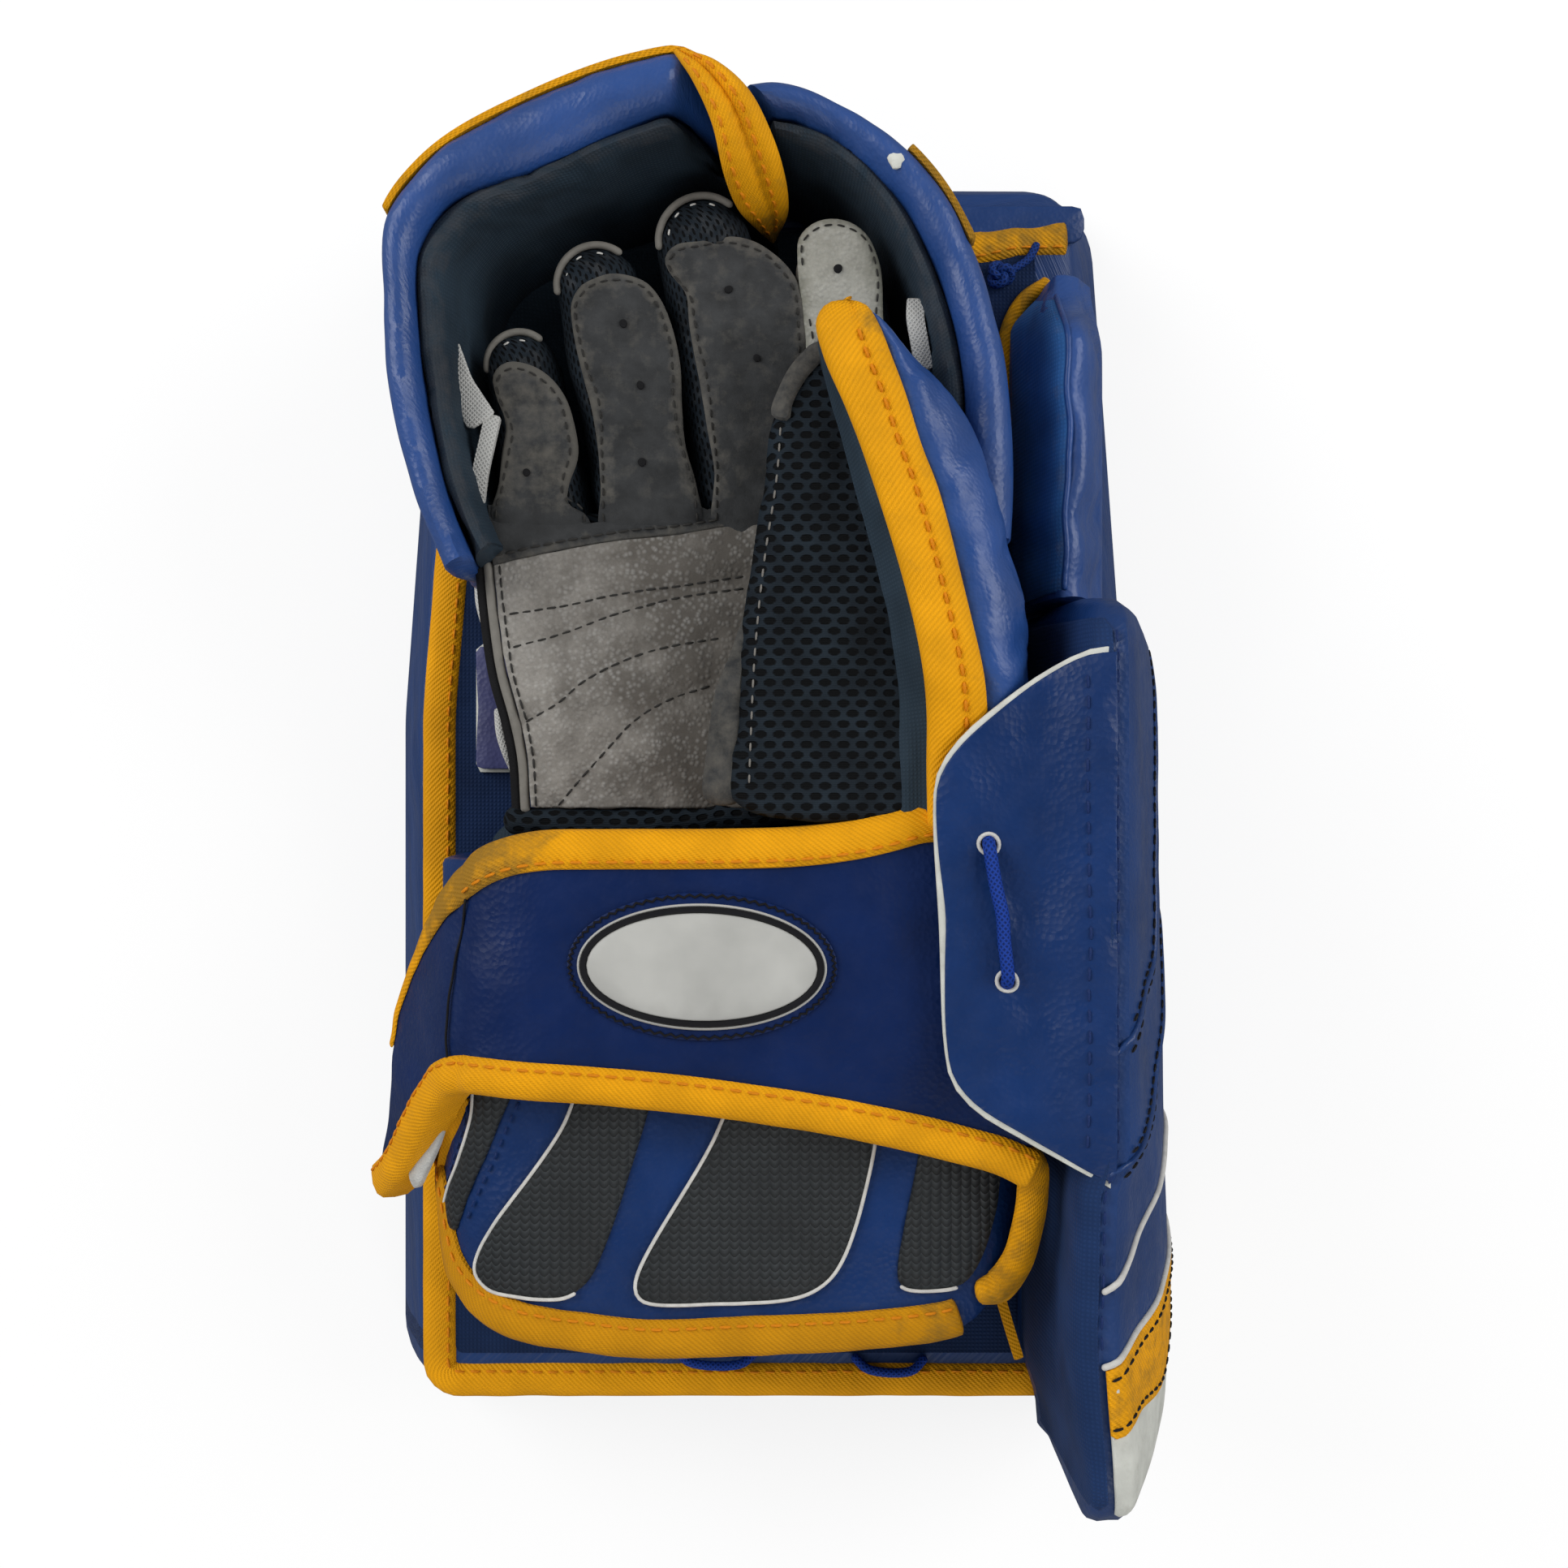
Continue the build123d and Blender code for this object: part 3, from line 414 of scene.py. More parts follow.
def contains(outline, points):
    """Which points lie inside a closed outline."""
    inside = np.zeros(len(points), bool)
    for (x0, y0), (x1, y1) in zip(outline, np.roll(outline, -1, 0)):
        crosses = (y0 > points[:, 1]) != (y1 > points[:, 1])
        with np.errstate(divide="ignore", invalid="ignore"):
            at = x0 + (points[:, 1] - y0) * (x1 - x0) / (y1 - y0)
        inside ^= crosses & (points[:, 0] < at)
    return inside


def nearest(line, points):
    """Distance from each point to the nearest point of a line."""
    line, points = np.asarray(line, float), np.asarray(points, float)
    best = np.full(points.shape[:-1], np.inf)
    for start in range(0, len(line), 64):
        some = line[start:start + 64]
        gaps = np.linalg.norm(points[..., None, :] - some, axis=-1)
        best = np.minimum(best, gaps.min(-1))
    return best


def plate(name, place, outline, thickness, look, wear=None, crease=50, **shape):
    points, faces, run = plate_mesh(place, outline, thickness, **shape)
    return make(name, points, faces, look, run, wear, crease)


def group(name, meshes, look, wear=None, crease=50):
    points, faces, run = joined(meshes)
    return make(name, points, faces, look, run, wear, crease)


def stitch_mesh(line, length=2.4, gap=1.1, radius=0.32, up=None):
    """A row of short threads that follow a line, sunk to half their thickness."""
    lengths = travelled(line)
    total = lengths[-1]
    count = max(1, int(total / (length + gap)))
    centres = (np.arange(count) + 0.5) * total / count

    def at(distance):
        return np.stack([np.interp(distance, lengths, line[:, k]) for k in range(3)], -1)

    ahead = unit(at(centres + length / 2) - at(centres - length / 2))
    middle = at(centres)
    up = np.array([0, 0, 1.0]) if up is None else np.asarray(up, float)
    side = unit(np.cross(ahead, np.broadcast_to(up, ahead.shape)))
    lift = np.cross(side, ahead)
    angles = turned(6)
    meshes = []
    profile = [(-0.5, 0.3, -0.6), (-0.36, 0.9, 0.1), (0, 1.0, 0.35), (0.36, 0.9, 0.1), (0.5, 0.3, -0.6)]
    for m, a, s, u in zip(middle, ahead, side, lift):
        grid = np.array([m + a * length * t + u * radius * rise
                         + radius * scale * (np.cos(angles)[:, None] * s + np.sin(angles)[:, None] * u)
                         for t, scale, rise in profile])
        meshes.append(tube_mesh(grid))
    return joined(meshes)


CLOTH_STEPS = 20


def puffed(piece, held_below, cap=1.0, pressure=4.0):
    """Lets a cushion's cover swell and wrinkle as cloth; what is lower than a height is held."""
    mesh = piece.data
    rest = np.empty(len(mesh.vertices) * 3, np.float32)
    mesh.vertices.foreach_get("co", rest)
    rest = rest.reshape(-1, 3)
    held = piece.vertex_groups.new(name="held")
    held.add(np.flatnonzero(rest[:, 2] < held_below * MM).tolist(), 1.0, "REPLACE")
    cloth = piece.modifiers.new("cloth", "CLOTH")
    cloth.settings.vertex_group_mass = "held"
    cloth.settings.use_pressure = True
    cloth.settings.uniform_pressure_force = pressure
    cloth.settings.effector_weights.gravity = 0
    cloth.settings.tension_stiffness = cloth.settings.compression_stiffness = 12
    cloth.settings.bending_stiffness = 0.6
    cloth.settings.shrink_min = -0.025
    for step in range(1, CLOTH_STEPS + 1):
        bpy.context.scene.frame_set(step)
    swollen = piece.evaluated_get(bpy.context.evaluated_depsgraph_get()).to_mesh()
    after = np.empty(len(mesh.vertices) * 3, np.float32)
    swollen.vertices.foreach_get("co", after)
    piece.modifiers.remove(cloth)
    piece.vertex_groups.clear()
    bpy.context.scene.frame_set(1)
    move = after.reshape(-1, 3) - rest
    length = np.linalg.norm(move, axis=1, keepdims=True)
    move *= cap * MM * np.tanh(length / (cap * MM)) / np.maximum(length, 1e-9)
    mesh.vertices.foreach_set("co", (rest + move).ravel())
    mesh.update()
    return piece


def settle(piece, slot, nodes=(), body="board", fill=None):
    """Says which body a piece moves with and hides the CAD nodes it stands for; the finish it is given is
    not used.
    """
    if isinstance(body, str):
        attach(piece, body)
    else:
        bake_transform(piece)
    if nodes:
        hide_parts(*nodes)


def sewn(name, meshes, look, slot, nodes=(), wear=None, crease=50, **settled):
    """Makes one piece of several meshes, such as rows of stitches, and settles it."""
    settle(group(name, meshes, look, wear, crease), slot, nodes, **settled)


# ---------------------------------------------------------------- finishes
class Look:
    """A procedural finish, put together node by node. Its textures read "run", in millimetres."""

    def __init__(self, name, on_cad=False, shine=0.12, sheen=0.0):
        self.material = bpy.data.materials.new(name)
        self.material.use_nodes = True
        self.tree = self.material.node_tree
        self.shader = self.tree.nodes["Principled BSDF"]
        self.shader.inputs["Specular IOR Level"].default_value = shine
        self.shader.inputs["Sheen Weight"].default_value = sheen
        if on_cad:
            metres = self.node("TexCoord", output=3)
            self.run = self.node("VectorMath", {0: metres, 3: 1 / MM}, operation="SCALE")
        else:
            self.run = self.node("Attribute", attribute_name="run", output=1)
        self.heights = []

    def node(self, kind, inputs=(), output=0, **settings):
        made = self.tree.nodes.new("ShaderNode" + kind)
        for key, value in settings.items():
            setattr(made, key, value)
        for key, value in (inputs.items() if isinstance(inputs, dict) else enumerate(inputs)):
            if isinstance(value, bpy.types.NodeSocket):
                self.tree.links.new(value, made.inputs[key])
            elif value is not None:
                made.inputs[key].default_value = value
        return made.outputs[output]

    def math(self, operation, *values):
        return self.node("Math", values, operation=operation)

    def spread(self, value, low, high, start=0.0, end=1.0):
        return self.node("MapRange", [value, low, high, start, end])

    def noise(self, size, detail=3.0, rough=0.5):
        return self.node("TexNoise", {"Vector": self.run, "Scale": 1 / size, "Detail": detail,
                                      "Roughness": rough})

    def cells(self, size, randomness=1.0, feature="F1"):
        return self.node("TexVoronoi", {"Vector": self.run, "Scale": 1 / size, "Randomness": randomness},
                         feature=feature)

    def wave(self, pitch, along=(1, 0, 0)):
        """Ridges from 0 to 1, one every pitch, across a direction of the run."""
        reach = self.node("VectorMath", {0: self.run, 1: tuple(2 * math.pi / pitch * k for k in along)}, 1,
                          operation="DOT_PRODUCT")
        return self.spread(self.math("SINE", reach), -1, 1)

    def ovals(self, pitch, half):
        """1 inside ovals that stand in staggered rows, 0 between them."""
        x, y = (self.node("SeparateXYZ", [self.run], k) for k in (0, 1))
        across = self.math("DIVIDE", y, pitch[1])
        odd = self.math("MULTIPLY", self.math("FLOORED_MODULO", self.math("FLOOR", across), 2), 0.5)
        along = self.math("ADD", self.math("DIVIDE", x, pitch[0]), odd)
        parts = []
        for place, gap, size in ((along, pitch[0], half[0]), (across, pitch[1], half[1])):
            offset = self.math("SUBTRACT", self.math("FRACT", place), 0.5)
            parts.append(self.math("POWER", self.math("MULTIPLY", offset, gap / size), 2))
        return self.spread(self.math("ADD", *parts), 1.3, 0.7)

    def mix(self, share, a, b):
        return self.node("Mix", {0: share, 6: full(a), 7: full(b)}, 2, data_type="RGBA")

    def worn(self, strength=1.0, size=6.0):
        """Where the piece is worn, broken up by noise."""
        wear = self.node("Attribute", attribute_name="wear", output=2)
        patchy = self.math("ADD", wear, self.spread(self.noise(size, 5, 0.65), 0.3, 0.7, -0.45, 0.45))
        return self.spread(self.math("MULTIPLY", patchy, self.spread(wear, 0, 0.25)), 0.15, 0.85, 0,
                           strength)

    def raised(self, height, depth):
        self.heights.append((height, depth))

    def done(self, colour, roughness=None):
        normal = None
        for height, depth in self.heights:
            normal = self.node("Bump", {"Strength": 1.0, "Distance": depth * MM, "Height": height,
                                        "Normal": normal})
        for key, value in (("Base Color", colour), ("Roughness", roughness), ("Normal", normal)):
            if isinstance(value, bpy.types.NodeSocket):
                self.tree.links.new(value, self.shader.inputs[key])
            elif value is not None:
                self.shader.inputs[key].default_value = value
        return self.material


def full(colour):
    return colour if isinstance(colour, bpy.types.NodeSocket) else (*colour, 1.0)


def darker(colour, by):
    return tuple(c * by for c in colour)


def vinyl(name, base, worn, grain=1.1, depth=0.1, rough=0.36, shine=0.35, scuff=0.13):
    look = Look(name, shine=shine)
    tone = look.mix(look.spread(look.noise(26, 4), 0.3, 0.7), darker(base, 0.82), darker(base, 1.2))
    grains = look.cells(grain)
    look.raised(grains, depth)
    look.raised(look.noise(6, 3), depth * 1.1)
    scuffs = look.worn(scuff, 9.0)
    fine = look.math("MULTIPLY", scuffs, look.spread(look.noise(0.8, 2), 0.35, 0.65, 0.5, 1.0))
    return look.done(look.mix(fine, tone, worn), look.spread(look.noise(5, 3), 0.3, 0.7, rough - 0.07,
                                                             rough + 0.12))


def woven(name, base, pitch=1.0, worn=(0.2, 0.2, 0.22), rough=0.7, on_cad=False):
    look = Look(name, on_cad, sheen=0.02)
    cross = look.math("MULTIPLY", look.wave(pitch), look.wave(pitch, (0, 1, 0)))
    look.raised(cross, 0.12)
    look.raised(look.noise(12, 3), 0.3)
    tone = look.mix(look.spread(look.noise(18, 4), 0.3, 0.7), darker(base, 0.75), darker(base, 1.3))
    tone = look.mix(look.spread(cross, 0, 1, 0.35, 0), tone, darker(base, 0.4))
    return look.done(look.mix(look.worn(0.6), tone, worn), rough)


def twill(name, base, dirt=(0.2, 0.12, 0.02), pitch=1.0, rough=0.62):
    look = Look(name, sheen=0.02)
    ribs = look.wave(pitch, (0.75, 0.75, 0))
    fine = look.wave(pitch * 0.5, (0.2, -1.0, 0))
    look.raised(ribs, 0.12)
    look.raised(fine, 0.05)
    look.raised(look.noise(7, 3), 0.25)
    tone = look.mix(look.spread(look.noise(14, 4), 0.3, 0.7), darker(base, 0.84), darker(base, 1.1))
    tone = look.mix(look.spread(ribs, 0.0, 0.6, 0.32, 0), tone, darker(base, 0.55))
    return look.done(look.mix(look.worn(0.75, 5.0), tone, dirt), rough)


def spacer(name, base, pitch=(3.7, 2.1), half=(1.15, 0.68), thread=(0.03, 0.03, 0.032), rough=0.75):
    look = Look(name)
    holes = look.ovals(pitch, half)
    look.raised(holes, -0.5)
    look.raised(look.wave(0.5, (0, 1, 0)), 0.06)
    tone = look.mix(look.spread(look.noise(10, 4), 0.3, 0.7), darker(base, 0.7), darker(thread, 1.2))
    worn = look.mix(look.worn(0.5, 4.0), tone, (0.1, 0.1, 0.1))
    return look.done(look.mix(holes, worn, darker(base, 0.12)), rough)


def rippled(name, base, pitch=1.7, rough=0.6):
    """Knitted mesh whose rows rise and fall like scales."""
    look = Look(name, shine=0.3)
    x, y = (look.node("SeparateXYZ", [look.run], k) for k in (0, 1))
    scales = look.math("ABSOLUTE", look.math("SINE", look.math("MULTIPLY", x, math.pi / 2.3)))
    scales = look.math("MULTIPLY", scales, 0.55)
    rows = look.math("FRACT", look.math("ADD", look.math("DIVIDE", y, pitch), scales))
    lit = look.math("POWER", rows, 1.6)
    look.raised(lit, 0.45)
    tone = look.mix(look.spread(look.noise(16, 4), 0.3, 0.7), darker(base, 0.8), darker(base, 1.25))
    return look.done(look.mix(lit, darker(base, 0.22), tone), rough)


def suede(name, base, worn=(0.15, 0.14, 0.12), rough=0.9):
    look = Look(name, shine=0.08, sheen=0.06)
    look.raised(look.noise(0.7, 4, 0.7), 0.14)
    look.raised(look.noise(5, 3), 0.35)
    tone = look.mix(look.spread(look.noise(9, 6, 0.65), 0.32, 0.68), darker(base, 0.72), darker(base, 1.35))
    return look.done(look.mix(look.worn(0.55, 4.0), tone, worn), rough)


def leather(name, base, stain, worn, rough=0.7):
    """Pebbled leather whose pebble tops are lightened towards the worn colour, part wear and part painted
    highlight; "wear" here says how stained it is.
    """
    look = Look(name, shine=0.2)
    pebbles = look.spread(look.cells(1.25), 0.12, 0.55, 1, 0)
    look.raised(pebbles, 0.14)
    look.raised(look.noise(5, 5), 0.35)
    tone = look.mix(look.spread(look.noise(11, 6, 0.62), 0.4, 0.7, 0, 0.5), base, stain)
    tone = look.mix(look.worn(0.95, 14.0), tone, stain)
    tone = look.mix(look.spread(look.noise(1.1, 4, 0.7), 0.4, 0.7, 0, 0.3), tone, darker(stain, 0.7))
    # Pebble tops are mixed towards the worn colour: part wear, part painted highlight.
    lit = look.math("MULTIPLY", pebbles, look.spread(look.noise(16, 3), 0.35, 0.65, 0.04, 0.24))
    return look.done(look.mix(lit, tone, worn), rough)


def plain(name, base, rough=0.5, size=1.2, depth=0.05, dirt=None, on_cad=False, shift=0.12):
    look = Look(name, on_cad)
    look.raised(look.noise(size, 3), depth)
    tone = look.mix(look.spread(look.noise(size * 7, 4), 0.3, 0.7), darker(base, 1 - shift),
                    darker(base, 1 + shift))
    if dirt is not None:
        tone = look.mix(look.spread(look.noise(size * 5, 6, 0.7), 0.5, 0.75, 0, 0.5), tone, dirt)
    return look.done(tone, rough)


def braided(name, base, pitch=1.4, dark=0.4, on_cad=False):
    look = Look(name, on_cad)
    cross = look.math("MAXIMUM", look.wave(pitch, (1, 1, 0.3)), look.wave(pitch, (1, -1, 0.3)))
    look.raised(cross, 0.16)
    return look.done(look.mix(look.spread(cross, 0.2, 0.9), darker(base, dark), base), 0.6)


BLUE, NAVY, BLACK = (0.0105, 0.04, 0.15), (0.014, 0.04, 0.13), (0.024, 0.041, 0.06)
GOLD, WHITE, SUEDE = (0.86, 0.375, 0.003), (0.39, 0.385, 0.345), (0.04, 0.0415, 0.043)

LOOKS = {
    "vinyl": vinyl("vinyl_royal", BLUE, (0.07, 0.095, 0.18)),
    # roll: the royal vinyl given a lighter base, painted light for the guard rolls and pads, whose sides
    # catch the side light
    "roll": vinyl("vinyl_roll_painted_light", (0.0165, 0.062, 0.235), (0.1, 0.14, 0.29), shine=0.4),
    # flap: pebbled vinyl with a grain of its own, its base darkened as painted shade for the flat flap and
    # cuff
    "flap": vinyl("vinyl_pebbled_painted_shade", (0.0045, 0.0265, 0.116), (0.055, 0.08, 0.17), 1.3, 0.15, 0.38, 0.24,
                  0.09),
    # strap: the same vinyl given a darker base, painted shade for the strap's flat top and the badge
    # backing
    "strap": vinyl("vinyl_strap_painted_shade", (0.0032, 0.015, 0.077), (0.06, 0.09, 0.17), 1.3, 0.12, 0.38, 0.17, 0.12),
    "nylon": woven("nylon_weave_navy", NAVY),
    # pad cloth: the navy nylon lining given a much lighter base, painted light for the upper pad's shaded
    # inner face
    "lit pad cloth": woven("nylon_weave_painted_light", (0.045, 0.17, 0.46)),
    "faded": vinyl("vinyl_faded", (0.05, 0.055, 0.16), (0.16, 0.17, 0.26)),
    "floor": woven("floor_weave", (0.012, 0.013, 0.017), 0.9, on_cad=True),
    "panel": woven("panel_weave", darker(NAVY, 0.6), on_cad=True),
    "black": woven("nylon_weave_black", BLACK, 0.9, worn=(0.06, 0.06, 0.065)),
    "gold": twill("binding_twill", GOLD),
    # cuff gold: the gold binding darkened, painted shade for the cuff's edging
    "shaded cuff gold": twill("binding_twill_painted_shade", darker(GOLD, 0.7)),
    "mesh": spacer("spacer_mesh", (0.009, 0.013, 0.018), (4.1, 2.3), (1.35, 0.8),
                   thread=(0.013, 0.02, 0.028)),
    "knit": spacer("finger_knit", (0.012, 0.017, 0.023), (2.7, 1.25), (0.8, 0.3),
                   thread=(0.014, 0.021, 0.029)),
    "cuffmesh": rippled("cuff_knit_mesh", (0.04, 0.046, 0.05)),
    "suede": suede("suede_nap", SUEDE),
    "palm": leather("palm_pebbled", (0.3, 0.285, 0.26), (0.105, 0.095, 0.083), (0.62, 0.62, 0.6)),
    "white": leather("white_pebbled", WHITE, (0.2, 0.2, 0.165), (0.6, 0.6, 0.57)),
    "piping": plain("piping_cord", (0.2, 0.19, 0.17), 0.7, 0.9, 0.1, (0.09, 0.085, 0.075)),
    "felt": plain("felt", (0.012, 0.012, 0.013), 0.95, 0.5, 0.2),
    "badge": plain("badge_enamel", (0.47, 0.47, 0.445), 0.3, 3.0, 0.02),
    "ring": plain("badge_rim", (0.012, 0.012, 0.014), 0.35, 2.0, 0.02),
    "tip": plain("white_tip_leather", (0.62, 0.63, 0.58), 0.5, 1.2, 0.12, (0.36, 0.35, 0.3)),
    "lace": braided("lace_braid_white", (0.56, 0.56, 0.54), 1.1, 0.7),
    "navy cord": braided("lace_braid_navy", (0.01, 0.04, 0.2), 1.3, 0.35),
    "blue cord": braided("lace_braid_blue", (0.012, 0.05, 0.32), 1.3, 0.35),
    "blue knot": braided("knot_braid_blue", (0.012, 0.07, 0.42), 1.3, 0.4, on_cad=True),
    "gold thread": plain("thread_orange", (0.72, 0.24, 0.008), 0.5, 0.4, 0.05),
    "navy thread": plain("thread_navy", (0.014, 0.032, 0.12), 0.5, 0.4, 0.05),
    "white thread": plain("thread_white", (0.6, 0.59, 0.56), 0.5, 0.4, 0.05),
    "grey thread": plain("thread_grey", (0.2, 0.19, 0.175), 0.5, 0.4, 0.05),
    "dark thread": plain("thread_dark", (0.035, 0.034, 0.032), 0.6, 0.4, 0.05),
    "black thread": plain("thread_black", (0.01, 0.01, 0.012), 0.5, 0.4, 0.05),
    "hook": plain("hook_pile", (0.5, 0.5, 0.48), 0.9, 0.5, 0.3),
}

# ---------------------------------------------------------------- camera, light and floor
SENSOR = 36
PHOTO_FOCAL, PHOTO_WIDTH = 2100, 1932  # pixels; the focal length is an assumption
CAMERA_AT, CAMERA_LENS = (5.2, 1.6, 477.3), SENSOR * PHOTO_FOCAL / PHOTO_WIDTH
FLOOR_Z, FLOOR_HALF = -0.4, 3000.0
WORLD_LIGHT, FLOOR_GLOW, FLOOR_GREY = 0.3, 0.8, 0.22
SOFTBOXES = [((-1050, 550, 800), 1000, 13.5), ((1050, 420, 800), 900, 10.5), ((100, -1000, 700), 900, 3.4)]


def set_stage():
    scene = bpy.context.scene
    lens = bpy.data.cameras.new("camera")
    lens.sensor_width, lens.lens, lens.clip_start, lens.clip_end = SENSOR, CAMERA_LENS, 0.01, 20
    camera = bpy.data.objects.new("camera", lens)
    camera.location = np.array(CAMERA_AT) * MM
    scene.collection.objects.link(camera)
    scene.camera = camera
    scene.view_settings.view_transform = "Standard"
    world = bpy.data.worlds.new("studio")
    scene.world = world
    world.use_nodes = True
    tree = world.node_tree
    seen = tree.nodes.new("ShaderNodeLightPath")
    glow = tree.nodes["Background"]
    glow.inputs["Color"].default_value = (1, 1, 1, 1)
    level = tree.nodes.new("ShaderNodeMapRange")
    level.inputs[3].default_value, level.inputs[4].default_value = WORLD_LIGHT, 1.0
    tree.links.new(seen.outputs["Is Camera Ray"], level.inputs[0])
    tree.links.new(level.outputs[0], glow.inputs["Strength"])
    for number, (place, size, power) in enumerate(SOFTBOXES):
        light = bpy.data.lights.new(f"softbox_{number}", "AREA")
        light.size, light.energy = size * MM, power
        lamp = bpy.data.objects.new(f"softbox_{number}", light)
        lamp.location = np.array(place) * MM
        lamp.rotation_euler = (-lamp.location).to_track_quat("-Z", "Y").to_euler()
        scene.collection.objects.link(lamp)
    square = [(-1, -1, 0), (1, -1, 0), (1, 1, 0), (-1, 1, 0)]
    points = np.array(square) * FLOOR_HALF + [0, 0, FLOOR_Z]
    mesh = bpy.data.meshes.new("floor")
    mesh.from_pydata((points * MM).tolist(), [], [[0, 1, 2, 3]])
    floor = bpy.data.objects.new("floor", mesh)
    scene.collection.objects.link(floor)
    paper = bpy.data.materials.new("pale_paper")
    paper.use_nodes = True
    tree = paper.node_tree
    tree.nodes.remove(tree.nodes["Principled BSDF"])
    diffuse, shine = tree.nodes.new("ShaderNodeBsdfDiffuse"), tree.nodes.new("ShaderNodeEmission")
    path, both = tree.nodes.new("ShaderNodeLightPath"), tree.nodes.new("ShaderNodeAddShader")
    share = tree.nodes.new("ShaderNodeMath")
    share.operation = "MULTIPLY"
    share.inputs[1].default_value = FLOOR_GLOW
    diffuse.inputs["Color"].default_value = (FLOOR_GREY, FLOOR_GREY, FLOOR_GREY, 1)
    tree.links.new(path.outputs["Is Camera Ray"], share.inputs[0])
    tree.links.new(share.outputs[0], shine.inputs["Strength"])
    tree.links.new(diffuse.outputs[0], both.inputs[0])
    tree.links.new(shine.outputs[0], both.inputs[1])
    tree.links.new(both.outputs[0], tree.nodes["Material Output"].inputs["Surface"])
    mesh.materials.append(paper)


# ---------------------------------------------------------------- front board
BOARD_HALF = np.array([101.5, 167.5])
BOARD_TAPER, TAPER_START, BOARD_CORNER = 10.5, 20.0, 22.0
BOARD_RINGS = [(46, 0.5), (20, 0.5), (10.5, 0.45), (9, 0.7), (8.4, 1.4), (7.8, 0.7), (6.4, 0.25),
               (3.4, 0.2), (1.8, 0.7), (1.2, 2.2), (1.7, 4.5), (2.7, 8), (4.7, 14), (6.8, 20), (9.2, 26.5),
               (11.2, 31.5), (12.6, 33.8), (14, 34.6), (17, 34.7), (46, 34.7)]
BINDING_MIDDLE = 17.4
BINDING_STARTS, BINDING_ENDS = (78.0, 143.2), (84, -120)


def board_outline(inset, height, arc=9, side=30):
    half, top = BOARD_HALF - inset
    narrow = half - BOARD_TAPER
    turn = max(BOARD_CORNER - inset, 3.0)
    corners = [(-half, -top), (half, -top), (half, TAPER_START), (narrow, top), (-narrow, top),
               (-half, TAPER_START)]
    return deep(rounded(corners, [turn, turn, 120, turn, turn, 120], arc, side), height)


def make_board():
    rings = np.array([board_outline(inset, height) for inset, height in BOARD_RINGS])
    side = smooth(4, 12, rings[..., 2]) * (1 - smooth(28, 33, rings[..., 2]))
    outward = unit(rings[..., :2])
    rings[..., :2] += outward * (side * (ripples(rings, 34, 3) * 0.9 - 0.2))[..., None]

    def scuffed(p):
        return 0.5 * smooth(7, 1, np.abs(p[:, 2] - 2)) + 0.25 * smooth(120, 167, p[:, 1])

    cover = tube("board_skin", rings, "vinyl", None, wear=scuffed)
    settle(cover, "vinyl_blue", ["board_front_cover", "board_foam", "board_stiffener"], fill=0.9)
    frame["nodes"]["board_back_panel"].data.materials[0] = LOOKS["panel"]
    line = board_outline(BINDING_MIDDLE, 0, 7, 40)[:, :2]
    line = spaced(np.vstack([line, line[:1]]), 420, True)
    line[:, 1] -= smooth(118, 148, line[:, 1]) * (6.0 + 3.6 * smooth(74, 52, line[:, 0]))
    line[:, 1] -= 2.8 * smooth(-112, -138, line[:, 1])
    start = int(np.argmin(np.linalg.norm(line - BINDING_STARTS, axis=1)))
    line = np.roll(line, -start, 0)
    line = line[:int(np.argmin(np.linalg.norm(line - BINDING_ENDS, axis=1)))]
    line = spaced(np.vstack([BINDING_STARTS, line[np.argmax(line[:, 0] < 66):]]), 400)
    band = [(4.3, -2.2), (4.5, -0.2), (3.8, 0.9), (2, 1.5), (0, 1.6), (-2, 1.45), (-3.6, 0.9), (-4.2, 0),
            (-3.9, -0.7), (0, -0.9)]
    place = Over(lambda p: BINDING_TOP - 0.9 + 0.35 * ripples(p, 17, 5))

    def dirty(p):
        return smooth(120, 150, p[:, 1]) * smooth(40, 62, p[:, 0]) * 0.7 + 0.04

    edge = tube("board_edging", laid(place, line, band), "gold", 0.8, wear=dirty)
    settle(edge, "binding_gold", ["board_binding"])
    row = place(beside(line, -2.4), 1.55)
    sewn("board_edging_stitches", [stitch_mesh(row, 2.6, 1.4, 0.3)], "gold thread", "binding_gold")
    over = np.array([(20, 140), (82, 142), (83.5, 147), (82, 151.5), (20, 151.5)])
    settle(plate("board_top_edge_skin", level(BACK_TOP - 0.5), over, 1.1, "vinyl", spacing=4.0),
           "vinyl_blue")
    groove = level(-0.45)(spaced(board_outline(7.2, 0, 9, 40)[:, :2], 520)) + [0, 0, 0.75]
    sewn("board_seam_stitches", [stitch_mesh(groove, 3.0, 1.6, 0.3)], "navy thread", "vinyl_blue")


# ---------------------------------------------------------------- side wall
WALL_RING = [(66.2, 35.5), (67.2, 50), (69.3, 72), (71.4, 92), (72.5, 101.5), (73.8, 106.6), (75.8, 108.1),
             (77.2, 107.9), (77.9, 107.2), (78.6, 107.8), (80.4, 107.2), (83.4, 103), (88.2, 91.5),
             (94.6, 74.5), (99.2, 59.5), (102.6, 42), (104.4, 24), (104.4, 7), (103.7, 3.4), (101.9, 3.4),
             (99.0, 12), (94, 24.5), (89.6, 35.5), (78, 35.5)]
WALL_BASE, WALL_CORNERS = 35.5, (22, 16)
WALL_LEAN = [(-166, -160, -150, -138, -107, -66, -26, 15, 35, 44),
             (5.5, 2.6, 0.8, 0.2, 0, 0.8, 2.0, 2.8, 5.0, 8.5)]
WALL_WAIST = [(-160, -150, -126, -116, -88, -78), (0, 1.4, 3.2, 3.4, 2.8, 0)]
